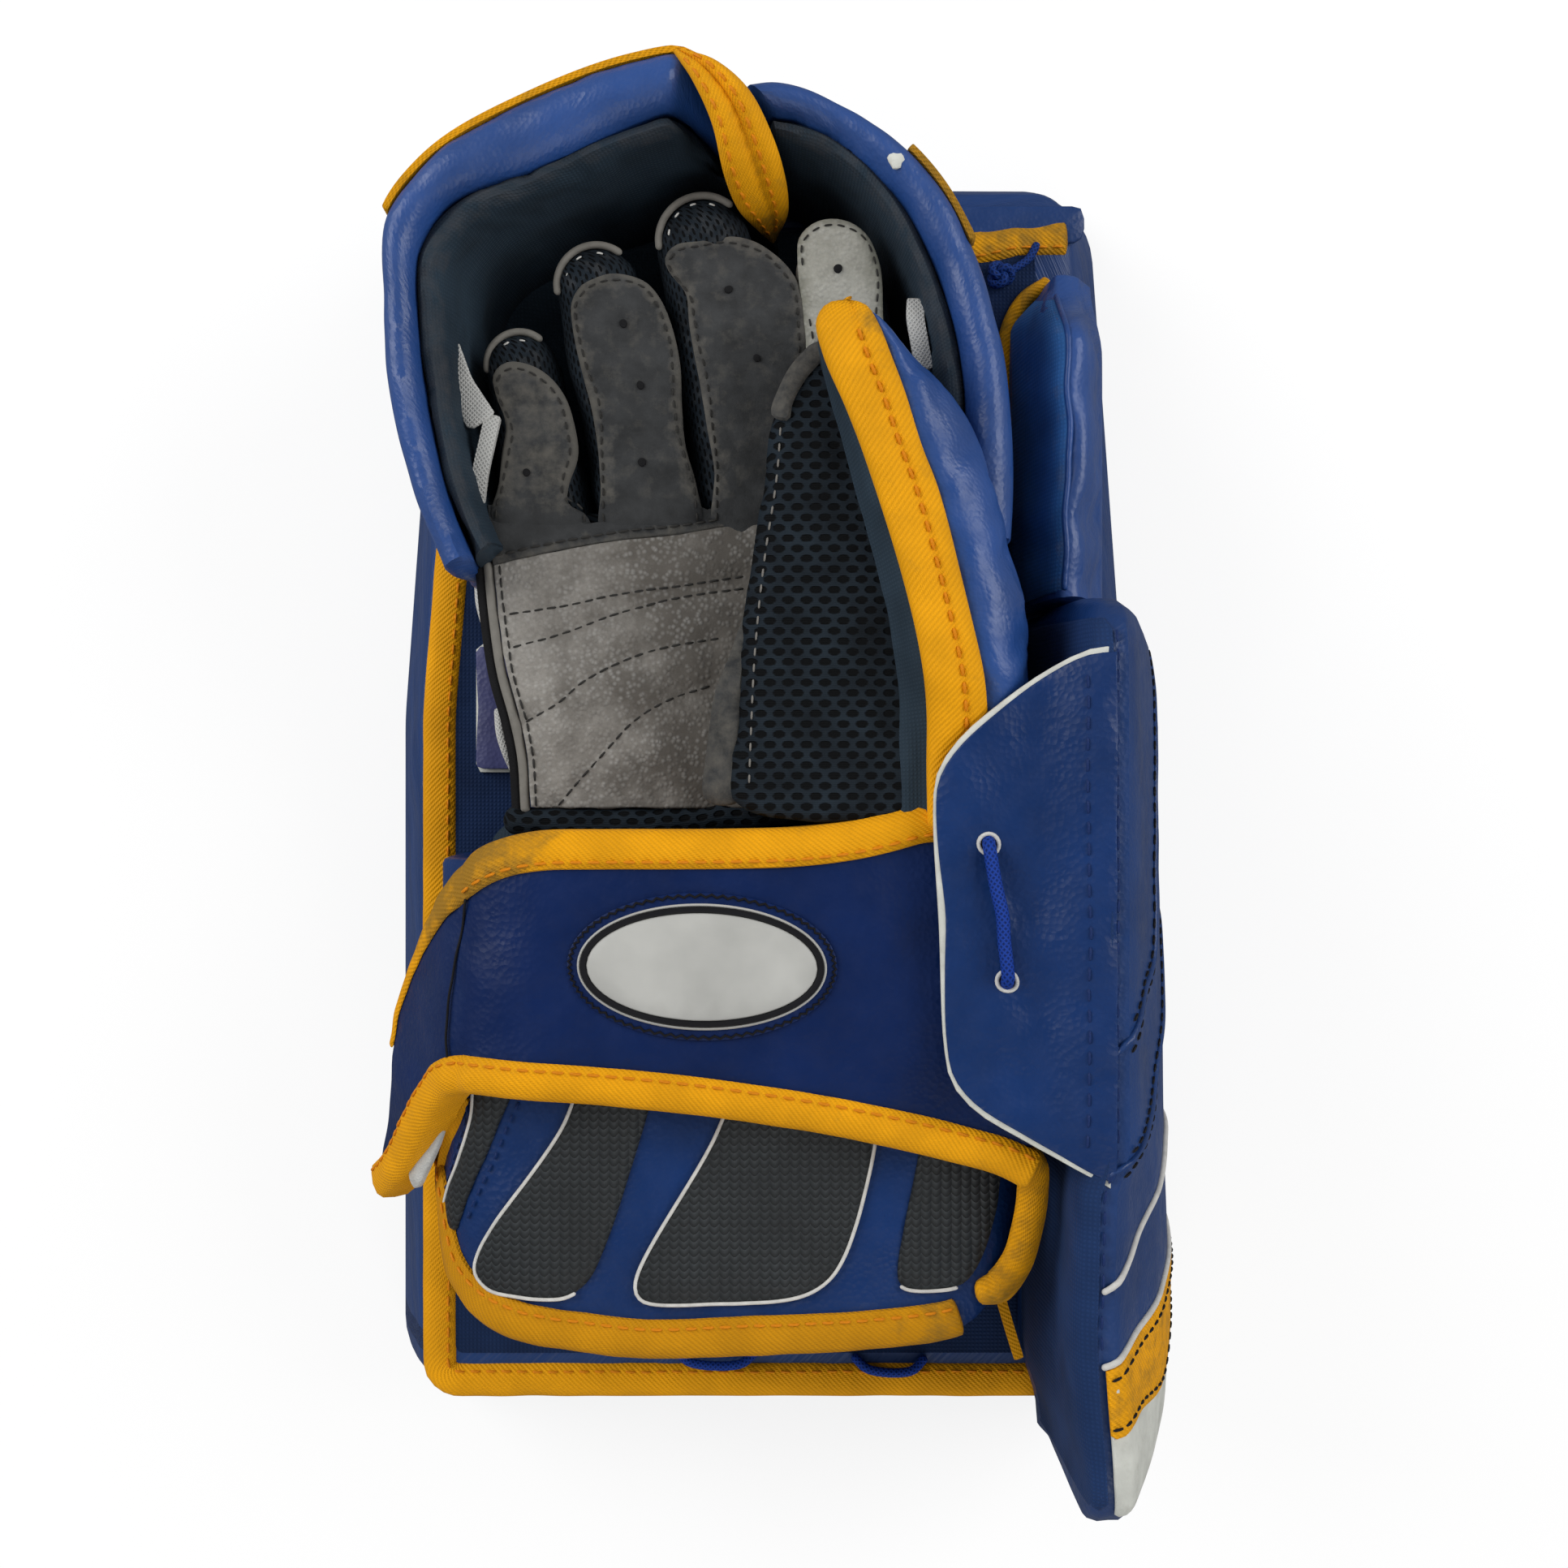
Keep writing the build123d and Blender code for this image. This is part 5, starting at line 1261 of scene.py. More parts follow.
def make_fingers():
    top = Over(face_height)
    for name, (root, tip, wide, narrow) in FINGERS.items():
        hinge = HINGES[name]["pos_m"]
        bend = ((root[0], hinge[1] / MM - ROOT_SPREAD, FINGER_HINGE_Z),
                (root[0], hinge[1] / MM + ROOT_SPREAD, FINGER_HINGE_Z), name)
        rings = finger_rings(root, tip, wide, narrow)
        stall = tube(f"{name}_finger_mesh", folded(rings, 13, 0.35, 70 + len(name)), "knit", 1.0,
                     wear=lambda p: 0.25 * smooth(70, 78, p[:, 2]))
        settle(stall, "mesh_black", [f"{name}_stall"], body=bend, fill=0.5)
        outline = curve(PATCHES[name], 110, True)
        finish = "white" if name == "index" else "suede"

        def rubbed(p, edge=outline, some=0.34 if name == "pinky" else 0.1):
            return (0.6 * smooth(3.0, 0.3, nearest(edge, p[:, :2])) + some) * smooth(62, 72, p[:, 1]) + 0.08
        patch = plate(f"{name}_finger_face", top, outline, 0.9, finish, spacing=2.4, crown=0.7, edge=0.5,
                      base=-0.3, wear=rubbed)
        settle(patch, "grip_white" if name == "index" else "suede_grey", [f"{name}_grip_patch"], body=bend)
        line = curve(PATCHES[name], 150)
        inset = line + unit(line.mean(0) - line) * 1.9
        row = top(inset, 1.15)
        sewn(f"{name}_finger_stitches", [stitch_mesh(row, 1.9, 1.1, 0.24)], "dark thread", "nylon_black",
             body=bend)
        dots = [plate_mesh(top, np.array(hole) + circle(0.95, 14), 1.75, edge=0.15, spacing=1.2)
                for hole in PUNCHED[name]]
        sewn(f"{name}_finger_holes", dots, "felt", "nylon_black", body=bend)
        ahead = unit(np.array(tip, float) - np.array(root, float))
        side = np.array([ahead[1], -ahead[0]])
        turn = np.radians(np.linspace(-88, 46, 40))[:, None]
        arc = np.array(tip) + (side * np.sin(turn) + ahead * np.cos(turn)) * (narrow - 0.9)
        tip_cord = swept(deep(arc, FINGER_TOP - 3.4), circle(0.9, 8))
        settle(tube(f"{name}_finger_piping", tip_cord, "piping", 1.0), "piping_grey", body=bend)
        arc = np.array(tip) + (side * np.sin(turn) + ahead * np.cos(turn)) * (narrow - 3.4)
        dashes = stitch_mesh(deep(arc[::2], FINGER_TOP - 1.4), 1.5, 2.4, 0.24)
        sewn(f"{name}_finger_tip_stitches", [dashes], "white thread", "grip_white", body=bend)


# ---------------------------------------------------------------- palm
PALM_SEAM = [(-62.9, 53), (-48, 56.3), (-34.4, 58.6), (-18, 60.4), (-1.3, 63), (14, 64)]
PALM_LEFT = [(-62.9, 53), (-61.6, 40), (-59.8, 28), (-56.8, 17), (-55, 8), (-54.2, -4)]
PALM_QUILTS = [[(-59.6, 41.4), (-46, 43.4), (-34.4, 46), (-20, 48), (-3.9, 50.4)],
               [(-58.9, 33.6), (-47, 36.8), (-36, 40.9), (-20, 45.2), (-4, 47.5)],
               [(-55.8, 15.9), (-48, 20.5), (-42.1, 25.4), (-34, 29.8), (-25.5, 32.9), (-9.7, 35.9)],
               [(-48, -3.7), (-42.1, 3.2), (-36, 10), (-30.1, 16.3), (-22, 21.2), (-12, 24.7)]]


def quilted(p):
    """The palm's height, drawn in along its quilting lines."""
    drawn = np.zeros(p.shape[:-1])
    for line in PALM_QUILTS:
        drawn += np.exp(-(nearest(curve(line, 60), p) / 1.7) ** 2)
    folds = 0.55 * ripples(p * [1, 1.3], 19, 81) + 0.3 * ripples(p, 8, 82)
    return FINGER_TOP + 0.7 + folds + 0.4 - drawn


def make_palm():
    place = Over(quilted)
    seam, left = curve(PALM_SEAM, 60), curve(PALM_LEFT, 50)

    def stained(p):
        inside = smooth(3, 13, nearest(left, p[:, :2]))
        return np.clip(0.42 * inside + 0.55 * smooth(-38, -6, p[:, 0] + 0.2 * p[:, 1]), 0.02, 0.92)

    right = [(34, 62), (36.5, 30), (36.5, -4)]
    lower = np.vstack([seam[::-1], left, [(-20, -4), (20, -4)], right[::-1]])
    leather_face = plate("palm_leather_face", place, lower, 2.4, "palm", spacing=2.0, base=-2.4, edge=0.5,
                         wear=stained)
    settle(leather_face, "palm_leather", ["palm_leather"], fill=0.4)
    top = Over(palm_height)
    upper = np.vstack([curve([(-64.2, 67), (-64, 58), (-62.9, 52.6)], 12), seam[1:],
                       [(34, 66), (34, 67.5), (10, 67.5), (-8, 68), (-12.5, 65.8), (-17, 68), (-34, 66.5),
                        (-37, 63.2), (-41.5, 62.6), (-44, 65), (-50, 67.5)]])
    suede_band = plate("palm_suede_band", top, upper, 0.75, "suede", spacing=2.4, base=-0.4, edge=0.5,
                       wear=lambda p: 0.4 * smooth(3.0, 0.5, nearest(seam, p[:, :2])) + 0.08)
    settle(suede_band, "suede_grey")
    row = top(beside(seam, -1.9), 0.6)
    rows = [stitch_mesh(row, 2.4, 0.6, 0.27)]
    for line in (*PALM_QUILTS, PALM_LEFT):
        path = curve(line, 60)
        if line is PALM_LEFT:
            path = beside(path, -1.4)
        rows.append(stitch_mesh(place(path, 0.12), 2.4, 0.5, 0.27))
    sewn("palm_stitches", rows, "dark thread", "nylon_black")
    hole = plate_mesh(place, np.array([(-26.6, 7.3)]) + circle(1.0, 14), 0.25, edge=0.15, spacing=1.2,
                      base=-1.6)
    sewn("palm_hole", [hole], "felt", "nylon_black")
    edge = deep(beside(left, 1.4), FINGER_TOP - 0.4)
    settle(cord("palm_side_piping", edge, 1.15, "piping"), "piping_grey", ["palm_edge_piping"])
    edge = deep(beside(left, 3.4), FINGER_TOP - 1.6)
    settle(cord("palm_side_felt", edge, 1.4, "felt"), "nylon_black")
    outline = np.vstack([left[::-1], curve([(-62.9, 53), (-63.5, 60), (-63, 64), (-61, 67)], 8)[1:],
                         [(-40, 66), (-12, 68), (10, 68), (34, 67), (37, 62), (37, -4)]])
    outline = spaced(np.vstack([outline, outline[:1]]), 150, True)
    inward = unit(outline.mean(0) - outline)
    rings = [deep(outline + inward * inset, height) for inset, height in ((5, 49.6), (1.4, 50.4), (0.2, 53),
                                                                          (-0.6, 62), (-0.3, 69), (0.4, 73),
                                                                          (1.8, 74.2), (6, 74.4))]
    hand = tube("hand_back_cloth", np.array(rings), "mesh", None)
    settle(hand, "mesh_black", ["hand_back_mesh"], fill=0.4)
    roll = curve([(-58, -7.2), (-40, -7.5), (-20, -7), (-4, -5.5), (6, -4)], 60)
    soft = swept(deep(roll, FINGER_TOP - 2.0), circle(3.4, 14))
    settle(tube("palm_heel_roll", folded(soft, 9, 0.4, 91), "mesh", 3.0), "mesh_black", fill=0.5)


# ---------------------------------------------------------------- thumb
THUMB_EDGE = [(-5, -3), (-5, 12), (-3.8, 40), (0.4, 66), (2.4, 82), (5.5, 90.5), (9.6, 97.5), (13.6, 101.8),
              (16.6, 100.6), (19.4, 97), (24, 84), (28.4, 72), (34, 52), (37.4, 30), (38.6, 12), (39, -3)]
THUMB_SUEDE = [(-1.4, 50), (-3.4, 40.5), (-7.2, 30), (-10.4, 22), (-12.2, 10), (-12.6, -2), (-5, -2.5),
               (-4.6, 10), (-3.6, 24.5), (-2.2, 38), (-0.6, 47)]
THUMB_TIP = [(2.4, 84), (4.4, 90.8), (7.2, 95.6), (11.2, 99.4), (14.6, 100.4), (15.6, 98.2), (13.4, 95.6),
             (10.2, 92), (7.2, 86.6), (6.2, 82.6)]
BINDING_IN = [(18.2, 107.0), (14.8, 106.2), (13.0, 103), (14.6, 95.5), (19.5, 84), (24, 72), (31, 50),
              (35.6, 31), (37.4, 17), (37.6, 4), (37.8, -7)]
BINDING_OUT = [(19.2, 107.0), (23, 106.2), (25.8, 102), (28.2, 96), (31.4, 87.5), (35, 76), (38.8, 66),
               (45, 42), (49, 24), (50.3, 8), (50.4, -7)]
PAD_OUT = [(28.6, 104), (34, 98.5), (41, 91), (50.4, 76), (56, 56), (60, 38), (60.8, 22), (60.8, 8),
           (60.6, -7)]
THUMB_WALL = [(17, 104.5), (14, 103), (12.6, 98.5), (14.4, 90), (17.4, 78), (21, 64), (25.6, 46),
              (28.8, 28), (30, 12), (30.4, -7)]
THUMB_SAMPLES = 90


def thumb_bend(reach=7.0):
    """Where the thumb's cloth passes from the board to the thumb, across its hinge."""
    y = HINGES["thumb"]["pos_m"][1] / MM
    return (36.0, y - reach, 95.0), (36.0, y + reach, 95.0), "thumb"


def thumb_top(p):
    edge = curve(THUMB_EDGE, 160)
    crown = 1.5 * np.sqrt(np.clip(nearest(edge, p) / 11, 0, 1))
    return THUMB_TOP - 2.4 + crown + 0.3 * ripples(p, 14, 95)


def make_thumb():
    bend = thumb_bend()
    place = Over(thumb_top)
    stall = plate("thumb_mesh", place, curve(THUMB_EDGE, 190, True), 0.0, "mesh", spacing=2.6, edge=2.4,
                  floor=THUMB_LOW + 0.3, wear=0.1)
    settle(stall, "mesh_black", ["thumb_stall", "thumb_stall_root"], body=bend, fill=0.5)
    strip = Over(lambda p: THUMB_TOP - 8.5 + 0.5 * ripples(p, 12, 97) + 3.5 * smooth(-12, -2, p[..., 0]))
    patch = plate("thumb_side_suede", strip, curve(THUMB_SUEDE, 90, True), 1.0, "suede", spacing=2.0,
                  crown=0.8, reach=4, wear=0.45)
    settle(patch, "suede_grey", body=bend)
    tip = plate("thumb_tip_suede", place, curve(THUMB_TIP, 80, True), 1.0, "suede", spacing=2.0, crown=0.5,
                reach=3, edge=0.5, wear=0.5)
    settle(tip, "suede_grey", body=bend)
    left = curve([(4.5, 82), (3.6, 70), (0.9, 52), (-1.2, 32), (-2.2, 12), (-2.6, 1)], 100)
    sewn("thumb_edge_stitches", [stitch_mesh(place(left, 0.1), 1.9, 1.6, 0.24)], "grey thread",
         "piping_grey", body=bend)
    a, b, c = (rail(points, 0, THUMB_SAMPLES) for points in (BINDING_IN, BINDING_OUT, PAD_OUT))
    low = THUMB_LOW + 0.4
    tucked = smooth(27, 6, a[:, 1] - 0.4 * (a[:, 0] - 36)) * 5.0
    top = THUMB_RIM - 0.4 - tucked
    inner = rail(THUMB_WALL, 0, THUMB_SAMPLES)
    wall = loft([*rails(inner, a, (0.1, low), (0.0, 96.6), (0.3, 98.6), (0.7, top - 3.8)),
                 *rails(a, b, (0.05, top - 2.2), (0.75, top - 2.4), (0.6, 92), (0.55, low))], 5)
    lining = tube("thumb_guard_inner_wall", wall, "black", 0.8)
    settle(lining, "nylon_black", ["thumb_guard_lining", "thumb_guard_lining_root"], body=bend)
    pad = loft(rails(b, c, (-0.2, low), (-0.3, 94), (-0.15, top - 3.4), (0.2, top - 2.2), (0.55, top - 4.6),
                     (0.85, top - 9.5), (1.0, top - 16), (1.0, top - 22), (0.9, low)), 6)
    body = tube("thumb_guard_cushion", folded(pad, 19, 0.55, 101, 60), "roll", 1.6,
                wear=lambda p: 0.18 + 0.25 * smooth(98, 105, p[:, 2]))
    settle(puffed(body, 92, 0.45), "vinyl_blue", ["thumb_guard_pad", "thumb_guard_pad_root"], body=bend,
           fill=0.8)
    ends = np.clip(np.arange(THUMB_SAMPLES) / 5, 0, 1) ** 0.5
    wave = 0.25 * ripples(a[:, :2], 17, 103)
    band = loft(rails(a, b, (0.03, top - 4.5), (-0.06, top - 3), (-0.03, top - 0.6 * ends),
                      (0.1, top + 0.3 * ends + wave), (0.35, top + 0.5 * ends + wave),
                      (0.56, top + 0.15 * ends), (0.63, top - 0.35), (0.7, top + 0.1 * ends),
                      (0.88, top - 0.1 + wave), (1.0, top - 1.2), (1.0, top - 2.8), (0.5, top - 3)), 4)

    def tarnished(p):
        return 0.12 + 0.65 * smooth(92, 104, p[:, 1]) * smooth(18, 30, p[:, 0])

    gold = tube("thumb_guard_edging", band, "gold", 2.2, wear=tarnished)
    settle(gold, "binding_gold", ["thumb_guard_binding", "thumb_guard_binding_root"], body=bend, fill=0.7)
    row = at_height(a, 0.62, b, top + 0.15)[7:]
    sewn("thumb_guard_stitches", [stitch_mesh(row, 2.6, 1.3, 0.34)], "gold thread", "binding_gold",
         body=bend)


# ---------------------------------------------------------------- wrist cuff
CUFF_PROFILE = [(-78, 36), (-78, 55), (-76.8, 67), (-70.5, 76.5), (-60, 83), (-40, 85.2), (0, 87.6),
                (30, 87.2), (47, 85.8), (55.5, 82), (61.5, 75), (63, 66), (63, 50), (63, 36)]
CUFF_LINE = [(-78, -20), (-78, -86), (-77.2, -100), (-74.6, -113.5), (-69, -120.6), (-61, -124.4),
             (-48, -127.2), (-26, -129.2), (0, -128), (24, -126.8), (40, -125.4), (47, -123.6),
             (51.5, -120.5), (56, -112), (60, -102), (63, -90), (63, -20)]
HEM_ENDS = (46.0, -120.5)
PANELS = [[(-76.4, -104), (-68, -80), (-64, -60), (-55, -60), (-62, -80), (-71.5, -103.6)],
          [(-40, -60), (-45, -76), (-66.5, -111), (-64, -115), (-55, -116.6), (-45, -116.4), (-40, -113),
           (-36, -105), (-29, -84), (-22, -60)],
          [(-4, -60), (-10, -78), (-28.8, -113), (-27.2, -116.6), (-8, -117.2), (9, -115.4), (15, -112),
           (19, -106), (24.5, -88), (29, -60)],
          [(40, -60), (36, -83), (31.3, -112), (33, -113.8), (45.5, -113.4), (49, -110), (54.5, -94),
           (56, -60)]]
PANEL_SAMPLES = 110
PANEL_PIPED = [(0, 0.42), (0, 0.6), (0, 1), (0.43, 0.55)]
CUFF_LOOP = [(54.5, -79, 94.8), (60.4, -83, 94), (61.8, -91.5, 89.5), (60.9, -101, 86),
             (58.8, -108.6, 84.5), (54.6, -114, 84.8), (51, -115.2, 85.2)]


class OnCuff(Bent):
    """The cuff's bent surface with its soft swelling between the seams."""

    def pattern(self, plan):
        plan = np.array(plan, float)
        across = np.interp(plan[:, 0], self.line[:, 0] + 1e-4 * np.arange(len(self.line)), self.lengths)
        return np.column_stack([across, plan[:, 1]])

    def __call__(self, flat, lift=0.0):
        swell = 0.7 * ripples(flat * [1, 0.7], 34, 111) + 0.3 * ripples(flat, 12, 112)
        return super().__call__(flat, lift + swell * smooth(30, 50, flat[..., 0]))


def make_cuff():
    place = OnCuff(CUFF_PROFILE)
    right = place.lengths[-1] - 0.5
    line = curve(place.pattern(CUFF_LINE[1:-1]), 130)
    shell = np.vstack([[(0.5, -16), (0.5, -84)], line, [(right, -84), (right, -16)]])
    body = plate("cuff_skin", place, shell, 6.0, "flap", base=-6.0, spacing=3.6, edge=1.6,
                 wear=lambda p: 0.18 + 0.3 * smooth(-95, -130, p[:, 1]))
    settle(body, "vinyl_blue", ["wrist_cuff"], fill=0.6)
    panels, pipes, rows = [], [], []
    for points, (first, last) in zip(PANELS, PANEL_PIPED):
        shape = place.pattern(points)
        outline = spaced(np.vstack([curve(shape, 90), shape[:1]]), 120, True)
        panels.append(plate_mesh(place, outline, 0.9, edge=0.45, spacing=2.6, crown=0.5, reach=5))
        edge = spaced(curve(shape, 140)[6:-6], PANEL_SAMPLES)
        corded = edge[int(PANEL_SAMPLES * first):int(PANEL_SAMPLES * last)]
        pipes.append(tube_mesh(piped(place, corded, 0.45, 1.0), 0.5))
        rows.append(stitch_mesh(place(beside(edge, -2.2), 0.45), 2.0, 1.2, 0.27))
    sewn("cuff_panels", panels, "cuffmesh", "cuff_mesh", ["cuff_mesh_panels"], wear=0.15)
    sewn("cuff_panel_piping", pipes, "white thread", "piping_grey")
    sewn("cuff_panel_stitches", rows, "navy thread", "vinyl_blue")
    band = [(4.4, -6.2), (4.9, -3), (4.6, 0.2), (3.2, 1.4), (0.4, 1.9), (-2.6, 1.6), (-4.2, 0.9),
            (-4.4, 0.1), (-3.4, -0.8), (0, -1.2), (3, -3.4), (3.2, -6)]
    hem = beside(line, -3.6)
    hem = hem[:int(np.argmin(np.linalg.norm(hem - place.pattern([HEM_ENDS])[0], axis=1)))]
    edge = tube("cuff_edging", laid(place, hem, band), "shaded cuff gold", 1.0,
                wear=lambda p: 0.05 + 0.4 * smooth(20, 50, p[:, 0]))
    settle(edge, "binding_gold", ["cuff_binding"], fill=0.7)
    row = place(beside(hem, -2.6), 1.75)
    sewn("cuff_edging_stitches", [stitch_mesh(row, 2.6, 1.3, 0.33)], "gold thread", "binding_gold")
    half = np.interp(np.arange(60), (0, 14, 40, 54, 59), (2.8, 3.7, 3.7, 4.0, 3.0))[:, None, None]
    loop = curve(CUFF_LOOP, 60)
    band = np.array([(1, -0.7), (1, 0.5), (0.6, 1.7), (0, 2.1), (-0.6, 1.7), (-1, 0.5), (-1, -0.7)])
    section = np.concatenate([half * band[None, :, :1], np.broadcast_to(band[None, :, 1:], (60, 7, 1))], -1)
    settle(tube("cuff_side_edging", swept(loop, section, (0.25, 0, 1)), "gold", 2.0,
                wear=lambda p: 0.22 + 0.25 * smooth(-100, -116, p[:, 1])), "binding_gold", fill=0.7)


# ---------------------------------------------------------------- wrist strap
STRAP_PROFILE = [(-98, 52.2), (-95, 56.4), (-84, 71.7), (-76, 83), (-70, 90.2), (-63, 95.8), (-54, 98.2),
                 (-40, 98.4), (0, 98.2), (36, 98), (56, 98), (72, 98)]
STRAP_BLUE = [(71.2, -7), (40, -7.5), (28, -10.5), (15, -13), (-7, -14.2), (-43, -14.5), (-60, -17),
              (-70.5, -24), (-77.5, -33), (-84, -44), (-88.2, -56), (-90.2, -70), (-92.4, -84),
              (-95.2, -96), (-91.6, -98), (-85.6, -89), (-79, -77), (-73, -68), (-67, -64), (-55, -63),
              (-43.5, -63.5), (-7, -67.5), (30, -73.5), (60, -80), (66, -76), (71.2, -70)]
STRAP_UPPER = [(71.2, -7.2), (44, -7.0), (36, -7.4), (28, -9.5), (20, -11.2), (8, -12.6), (-7, -13.1),
               (-34, -13.2), (-50, -13.6), (-59, -15.6), (-66.5, -20), (-72.8, -26.4), (-78.4, -34.8),
               (-83.8, -44.8), (-87.3, -53.3), (-89, -61)]
STRAP_LOWER = [(-95.5, -96.5), (-90.5, -92), (-84.5, -83), (-78.4, -72.6), (-73.6, -66.5), (-67.5, -63.8),
               (-56, -64.2), (-43.5, -65), (-25, -66.6), (-7, -68.7), (14, -72), (30, -75.2), (44, -78.6),
               (54, -81.4), (60.5, -84.5)]
STRAP_SEAM = [(-65.6, -20.5), (-67.6, -30), (-69.4, -42), (-70.6, -55), (-70.4, -62)]


class OnStrap(Bent):
    """The strap's bent surface, crowned between its bindings and slightly wavy."""

    def __call__(self, flat, lift=0.0):
        middle = np.interp(flat[..., 0], self.along(np.array([-90, -60, 0, 70])), [-70, -39, -40, -46])
        crown = 1.5 * (1 - np.clip(np.abs(flat[..., 1] - middle) / 30, 0, 1) ** 2)
        seam = self.along(-68)
        drawn = 1.1 * np.exp(-((flat[..., 0] - seam) / 2.2) ** 2)
        wavy = 0.45 * ripples(flat, 30, 121) + 0.2 * ripples(flat, 11, 122)
        x, y = (flat[..., 0] - self.along(-13)) / 34, (flat[..., 1] + 39) / 19
        near_badge = np.exp(-(x ** 2 + y ** 2) ** 2)
        raised = lift + (crown - drawn + wavy) * (1 - near_badge) + 0.2 * near_badge - 0.6
        return super().__call__(flat, raised)


def strap_bend():
    """Where the strap's cloth passes from its sewn root to the part that opens."""
    x = HINGES["strap"]["pos_m"][0] / MM
    return (x + 5.0, -40.0, 95.0), (x - 5.0, -40.0, 95.0), "strap"


def make_strap():
    bend = strap_bend()
    place = OnStrap(STRAP_PROFILE)
    outline = place.pattern(STRAP_BLUE)
    outline = spaced(np.vstack([curve(outline, 260), outline[:1]]), 280, True)
    body = plate("strap_skin", place, outline, 6.0, "strap", base=-6.2, spacing=3.0, edge=1.2,
                 wear=lambda p: 0.12 + 0.75 * smooth(-64, -76, p[:, 0]))
    settle(body, "vinyl_blue", ["wrist_strap", "strap_root"], body=bend, fill=0.6)
    bands, rows = [], []
    band = [(4.4, -6.4), (4.7, -3), (4.4, 0.0), (3.2, 1.3), (0.6, 1.9), (-2.2, 1.6), (-3.9, 0.8), (-4.2, 0),
            (-3.4, -0.7), (0, -1), (2.8, -3.2), (3.1, -6.2)]
    for line in (STRAP_UPPER, STRAP_LOWER):
        path = curve(place.pattern(line), 190)
        thin = np.interp(path[:, 0], place.along(np.array([-90, -80, -66])), [0.22, 0.42, 1])[:, None, None]
        section = np.array(band) * (thin if line is STRAP_UPPER else 1)
        bands.append(tube_mesh(laid(place, path, section), 1.2))
        shown = path if line is STRAP_LOWER else path[path[:, 0] > place.along(np.array(-68.0))]
        rows.append(stitch_mesh(place(beside(shown, -2.6), 1.65), 2.6, 1.3, 0.34))

    def tarnished(p):
        return 0.12 + 0.8 * smooth(-40, -66, p[:, 0]) * smooth(-45, -25, p[:, 1])

    gold = group("strap_edging", bands, "gold", wear=tarnished)
    settle(gold, "binding_gold", ["wrist_strap_binding", "strap_binding_root"], body=bend, fill=0.7)
    sewn("strap_edging_stitches", rows, "gold thread", "binding_gold", body=bend)
    seam = place(curve(place.pattern(STRAP_SEAM), 70), 0.3)
    settle(cord("strap_seam_line", seam, 0.3, "black thread", 8), "nylon_black", body=bend)
    tape = place.pattern([(-96, -86), (-83, -74), (-82, -44), (-94, -52)])
    hook = plate("strap_hook_tape", place, tape, 1.3, "hook", base=-7.6, spacing=3.0)
    settle(hook, "hook_tape", ["hook_tape"], body=bend)
    make_badge()


BADGE_TEETH = 150
BADGE_AT, BADGE_HALF, BADGE_TILT = np.array([-13.0, -39.0]), (27.2, 13.5), math.radians(-1)


def oval(margin, count=96):
    angles = turned(count)
    flat = np.stack([(BADGE_HALF[0] + margin) * np.cos(angles), (BADGE_HALF[1] + margin) * np.sin(angles)],
                    1)
    turn = np.array([[math.cos(BADGE_TILT), math.sin(BADGE_TILT)],
                     [-math.sin(BADGE_TILT), math.cos(BADGE_TILT)]])
    return BADGE_AT + flat @ turn


def make_badge():
    place = level(STRAP_TOP)
    settle(plate("badge_cloth", place, oval(3.0), 0.75, "strap", spacing=4.0, edge=0.3), "badge_backing",
           ["badge_backing"], body="strap")
    outer, inner = oval(2.6, BADGE_TEETH), oval(1.9, BADGE_TEETH)
    teeth = np.where((np.arange(BADGE_TEETH) % 2 == 0)[:, None], outer, inner)
    zigzag = [tube_mesh(swept(deep(teeth, STRAP_TOP + 0.85), circle(0.3, 6), closed=True), loop=True)]
    sewn("badge_zigzag", zigzag, "black thread", "badge_backing", body="strap")
    rim = [(0.75, 0.3), (0.75, 1.5), (0.35, 2.0), (-0.35, 2.0), (-0.75, 1.5), (-0.75, 0.3)]
    settle(tube("badge_rim_ring", laid(place, oval(-0.8), rim, True), "ring", loop=True), "badge_black",
           ["badge_ring"], body="strap")
    lip = [(0.35, 0.3), (0.35, 1.3), (0, 1.6), (-0.35, 1.3), (-0.35, 0.3)]
    settle(tube("badge_outer_lip", laid(place, oval(0.2), lip, True), "badge", loop=True), "badge_white",
           body="strap")
    face = plate("badge_blank_face", place, oval(-1.5), 1.75, "badge", spacing=3.0, edge=0.4, crown=0.6,
                 reach=10)
    settle(face, "badge_white", ["badge_plate"], body="strap")


# ---------------------------------------------------------------- laces, tabs and small parts
def ribbon(points, width, thick=1.0, count=40):
    path = curve(points, count)
    half = width / 2
    section = [(-half, -thick / 2), (-half * 0.97, thick / 2), (0, thick * 0.62), (half * 0.97, thick / 2),
               (half, -thick / 2), (0, -thick * 0.4)]
    return swept(path, section)


def cords(lines, radius):
    return [tube_mesh(swept(curve(line, 40), circle(radius, 10)), 1.0) for line in lines]


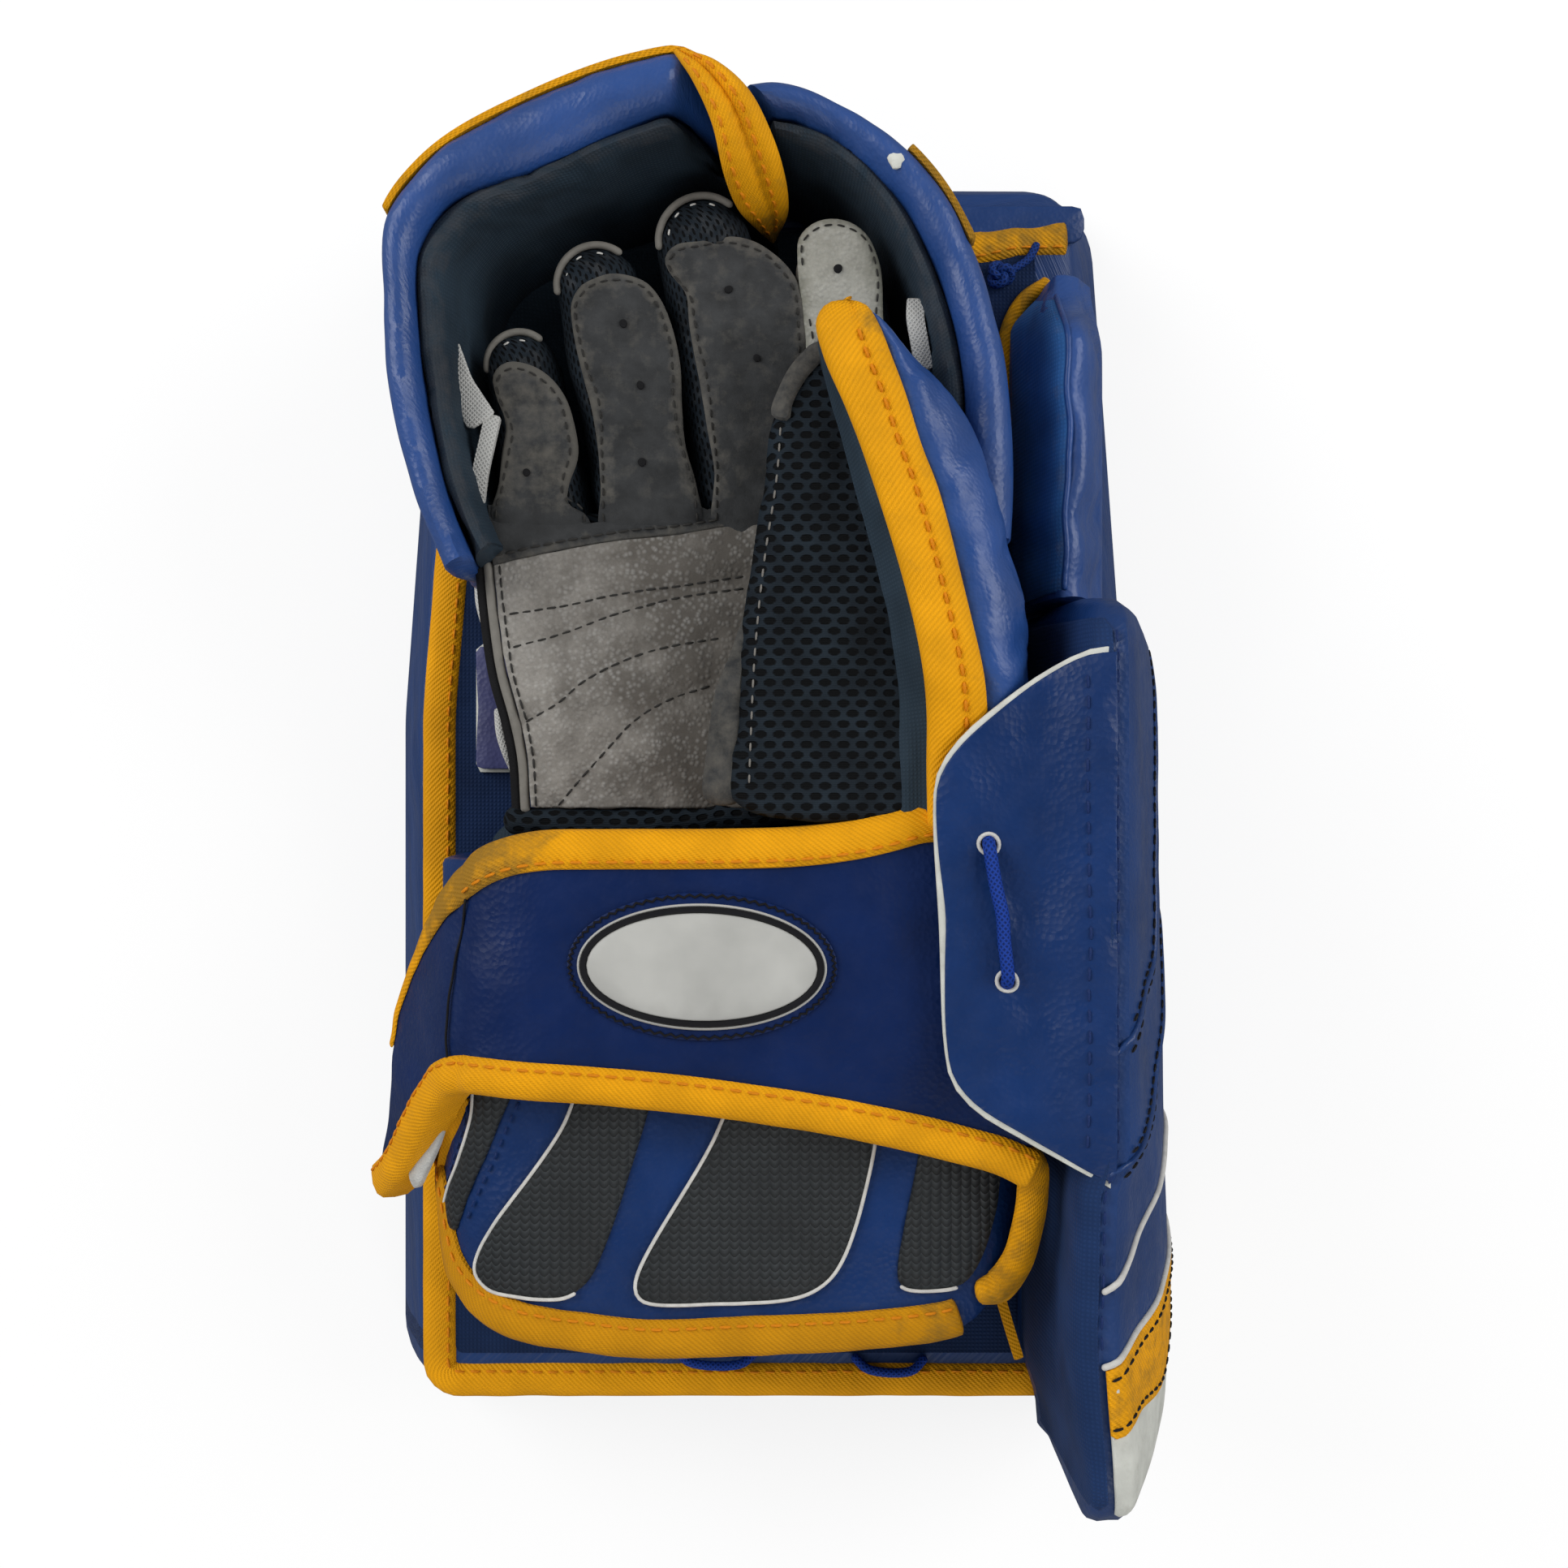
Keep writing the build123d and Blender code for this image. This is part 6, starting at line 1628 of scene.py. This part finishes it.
def make_small_parts():
    sloped = Over(lambda p: 79.4 + 0.12 * (p[..., 0] + 68) + 0.4 * ripples(p, 9, 141))
    fold = [(-71.5, 106.7), (-71.8, 93.2), (-68.6, 83.4), (-61.9, 87.7), (-67.5, 96.1)]
    folded_tab = plate_mesh(sloped, np.array(rounded(fold, [0.5, 1, 2, 0.6, 4])), 0.9, edge=0.4,
                            spacing=2.5)
    tabs = [ribbon([(-62.8, 87.2, 79.2), (-64, 81, 80.2), (-65.6, 74, 79.8), (-66.9, 66, 78.2)], 3.8, 1.7),
            ribbon([(36, 114.5, 79), (35.8, 110.5, 80), (36.6, 105.5, 80), (38, 99, 78)], 4.2)]
    sewn("elastic_loops", [folded_tab, *(tube_mesh(grid, 0.6) for grid in tabs)], "lace", "lace_white",
         ["elastic_tabs"])
    lines = [[(-70.5, 51, 54), (-69.6, 46, 57), (-68.4, 41.5, 57), (-67.4, 38, 54)],
             [(-65.6, 19.5, 54), (-64.6, 14, 57), (-63.2, 9.5, 57), (-61.6, 5, 54)]]
    sewn("side_laces", cords(lines, 1.25), "lace", "lace_white", ["palm_laces"])
    low, high = corner("board_lace_knot", False), corner("board_lace_knot")
    centre, reach = (low + high) / 2, (high - low) / 2
    turn = turned(110)
    radius = (reach[0] - 1.2) * (0.62 + 0.38 * np.cos(3 * turn))
    path = np.column_stack([radius * np.cos(2 * turn), radius * np.sin(2 * turn),
                            1.1 * np.sin(3 * turn) + 0.6]) + centre
    loops = [tube_mesh(swept(path, circle(1.15, 10), closed=True), loop=True)]
    tail = [(4.6, 2.2, 0.2), (7.6, 4.6, -0.6), (9.5, 8, -1.2)]
    loops.append(tube_mesh(swept(curve(centre + np.array([(1, 0, 0.6), *tail]), 30), circle(1.05, 10)),
                           1.0))
    sewn("board_lace_tied", loops, "navy cord", "lace_blue", ["board_lace_knot"])
    ends = [[(-22.3, -145.4, 36), (-19, -147.6, 37.6), (-6, -148, 37.6), (-2.5, -145.8, 36)],
            [(23.6, -147, 36), (27, -149.4, 37.6), (38, -149.8, 37.6), (41.3, -147.4, 36)]]
    sewn("lower_lace_ends", cords(ends, 1.2), "blue cord", "lace_blue")
    strips = [[(58.2, -122, 47), (60.2, -129, 46), (62.6, -137, 44.5), (65, -144.5, 42.5)],
              [(-69.6, -72, 79), (-72.6, -79, 75), (-75.8, -86.5, 70), (-77.9, -94.5, 64)]]
    sewn("hidden_edging_ends", [tube_mesh(ribbon(line, 2.6), 0.6) for line in strips], "gold",
         "binding_gold", wear=0.1)
    slope = Over(lambda p: 74 + (p[..., 0] + 76) * 0.9)
    tape = curve([(-75.6, -75), (-74.2, -78), (-79.2, -90.5), (-82.4, -95.4), (-84.4, -92.6),
                  (-80.2, -82.5)], 60, True)
    settle(plate("strap_tape_end", slope, tape, 1.2, "hook", spacing=2.0, edge=0.4, crown=0.4, reach=3),
           "hook_tape", body="strap")
    patch = np.array(rounded([(-74.5, 38), (-66, 37.5), (-63.4, 4.6), (-74.5, 4.6)], [1.5] * 4))
    under = level(BACK_TOP + 1.6)
    settle(plate("side_patch_edge", under, patch, 1.0, "tip", spacing=4.0, edge=0.3, base=-1.4),
           "grip_white")
    settle(plate("side_patch", under, patch + unit(patch.mean(0) - patch) * 0.9, 0.9, "faded", spacing=3.0,
                 base=0.6, edge=0.3, wear=0.4), "vinyl_blue")
    for node, crown in (("finger_floor_pad", 1.6), ("knuckle_pad", 1.8), ("wrist_pad", 1.8)):
        low, high = corner(node, False), corner(node)
        edge = rounded([(low[0], low[1]), (high[0], low[1]), (high[0], high[1]), (low[0], high[1])],
                       [9] * 4)
        tall = high[2] - low[2]
        surface = Over(lambda p: low[2] + 0.5 * ripples(p, 18, 131))
        pad = plate(node + "_cushion", surface, edge, tall - crown - 0.4, "black", spacing=4.0, edge=2.0,
                    crown=crown, reach=12)
        settle(pad, "nylon_black", [node])
    frame["nodes"]["loop_tape"].data.materials[0] = LOOKS["floor"]


set_stage()
make_board()
make_wall()
make_flap()
make_upper_pad()
make_guards()
make_fingers()
make_palm()
make_thumb()
make_cuff()
make_strap()
make_small_parts()
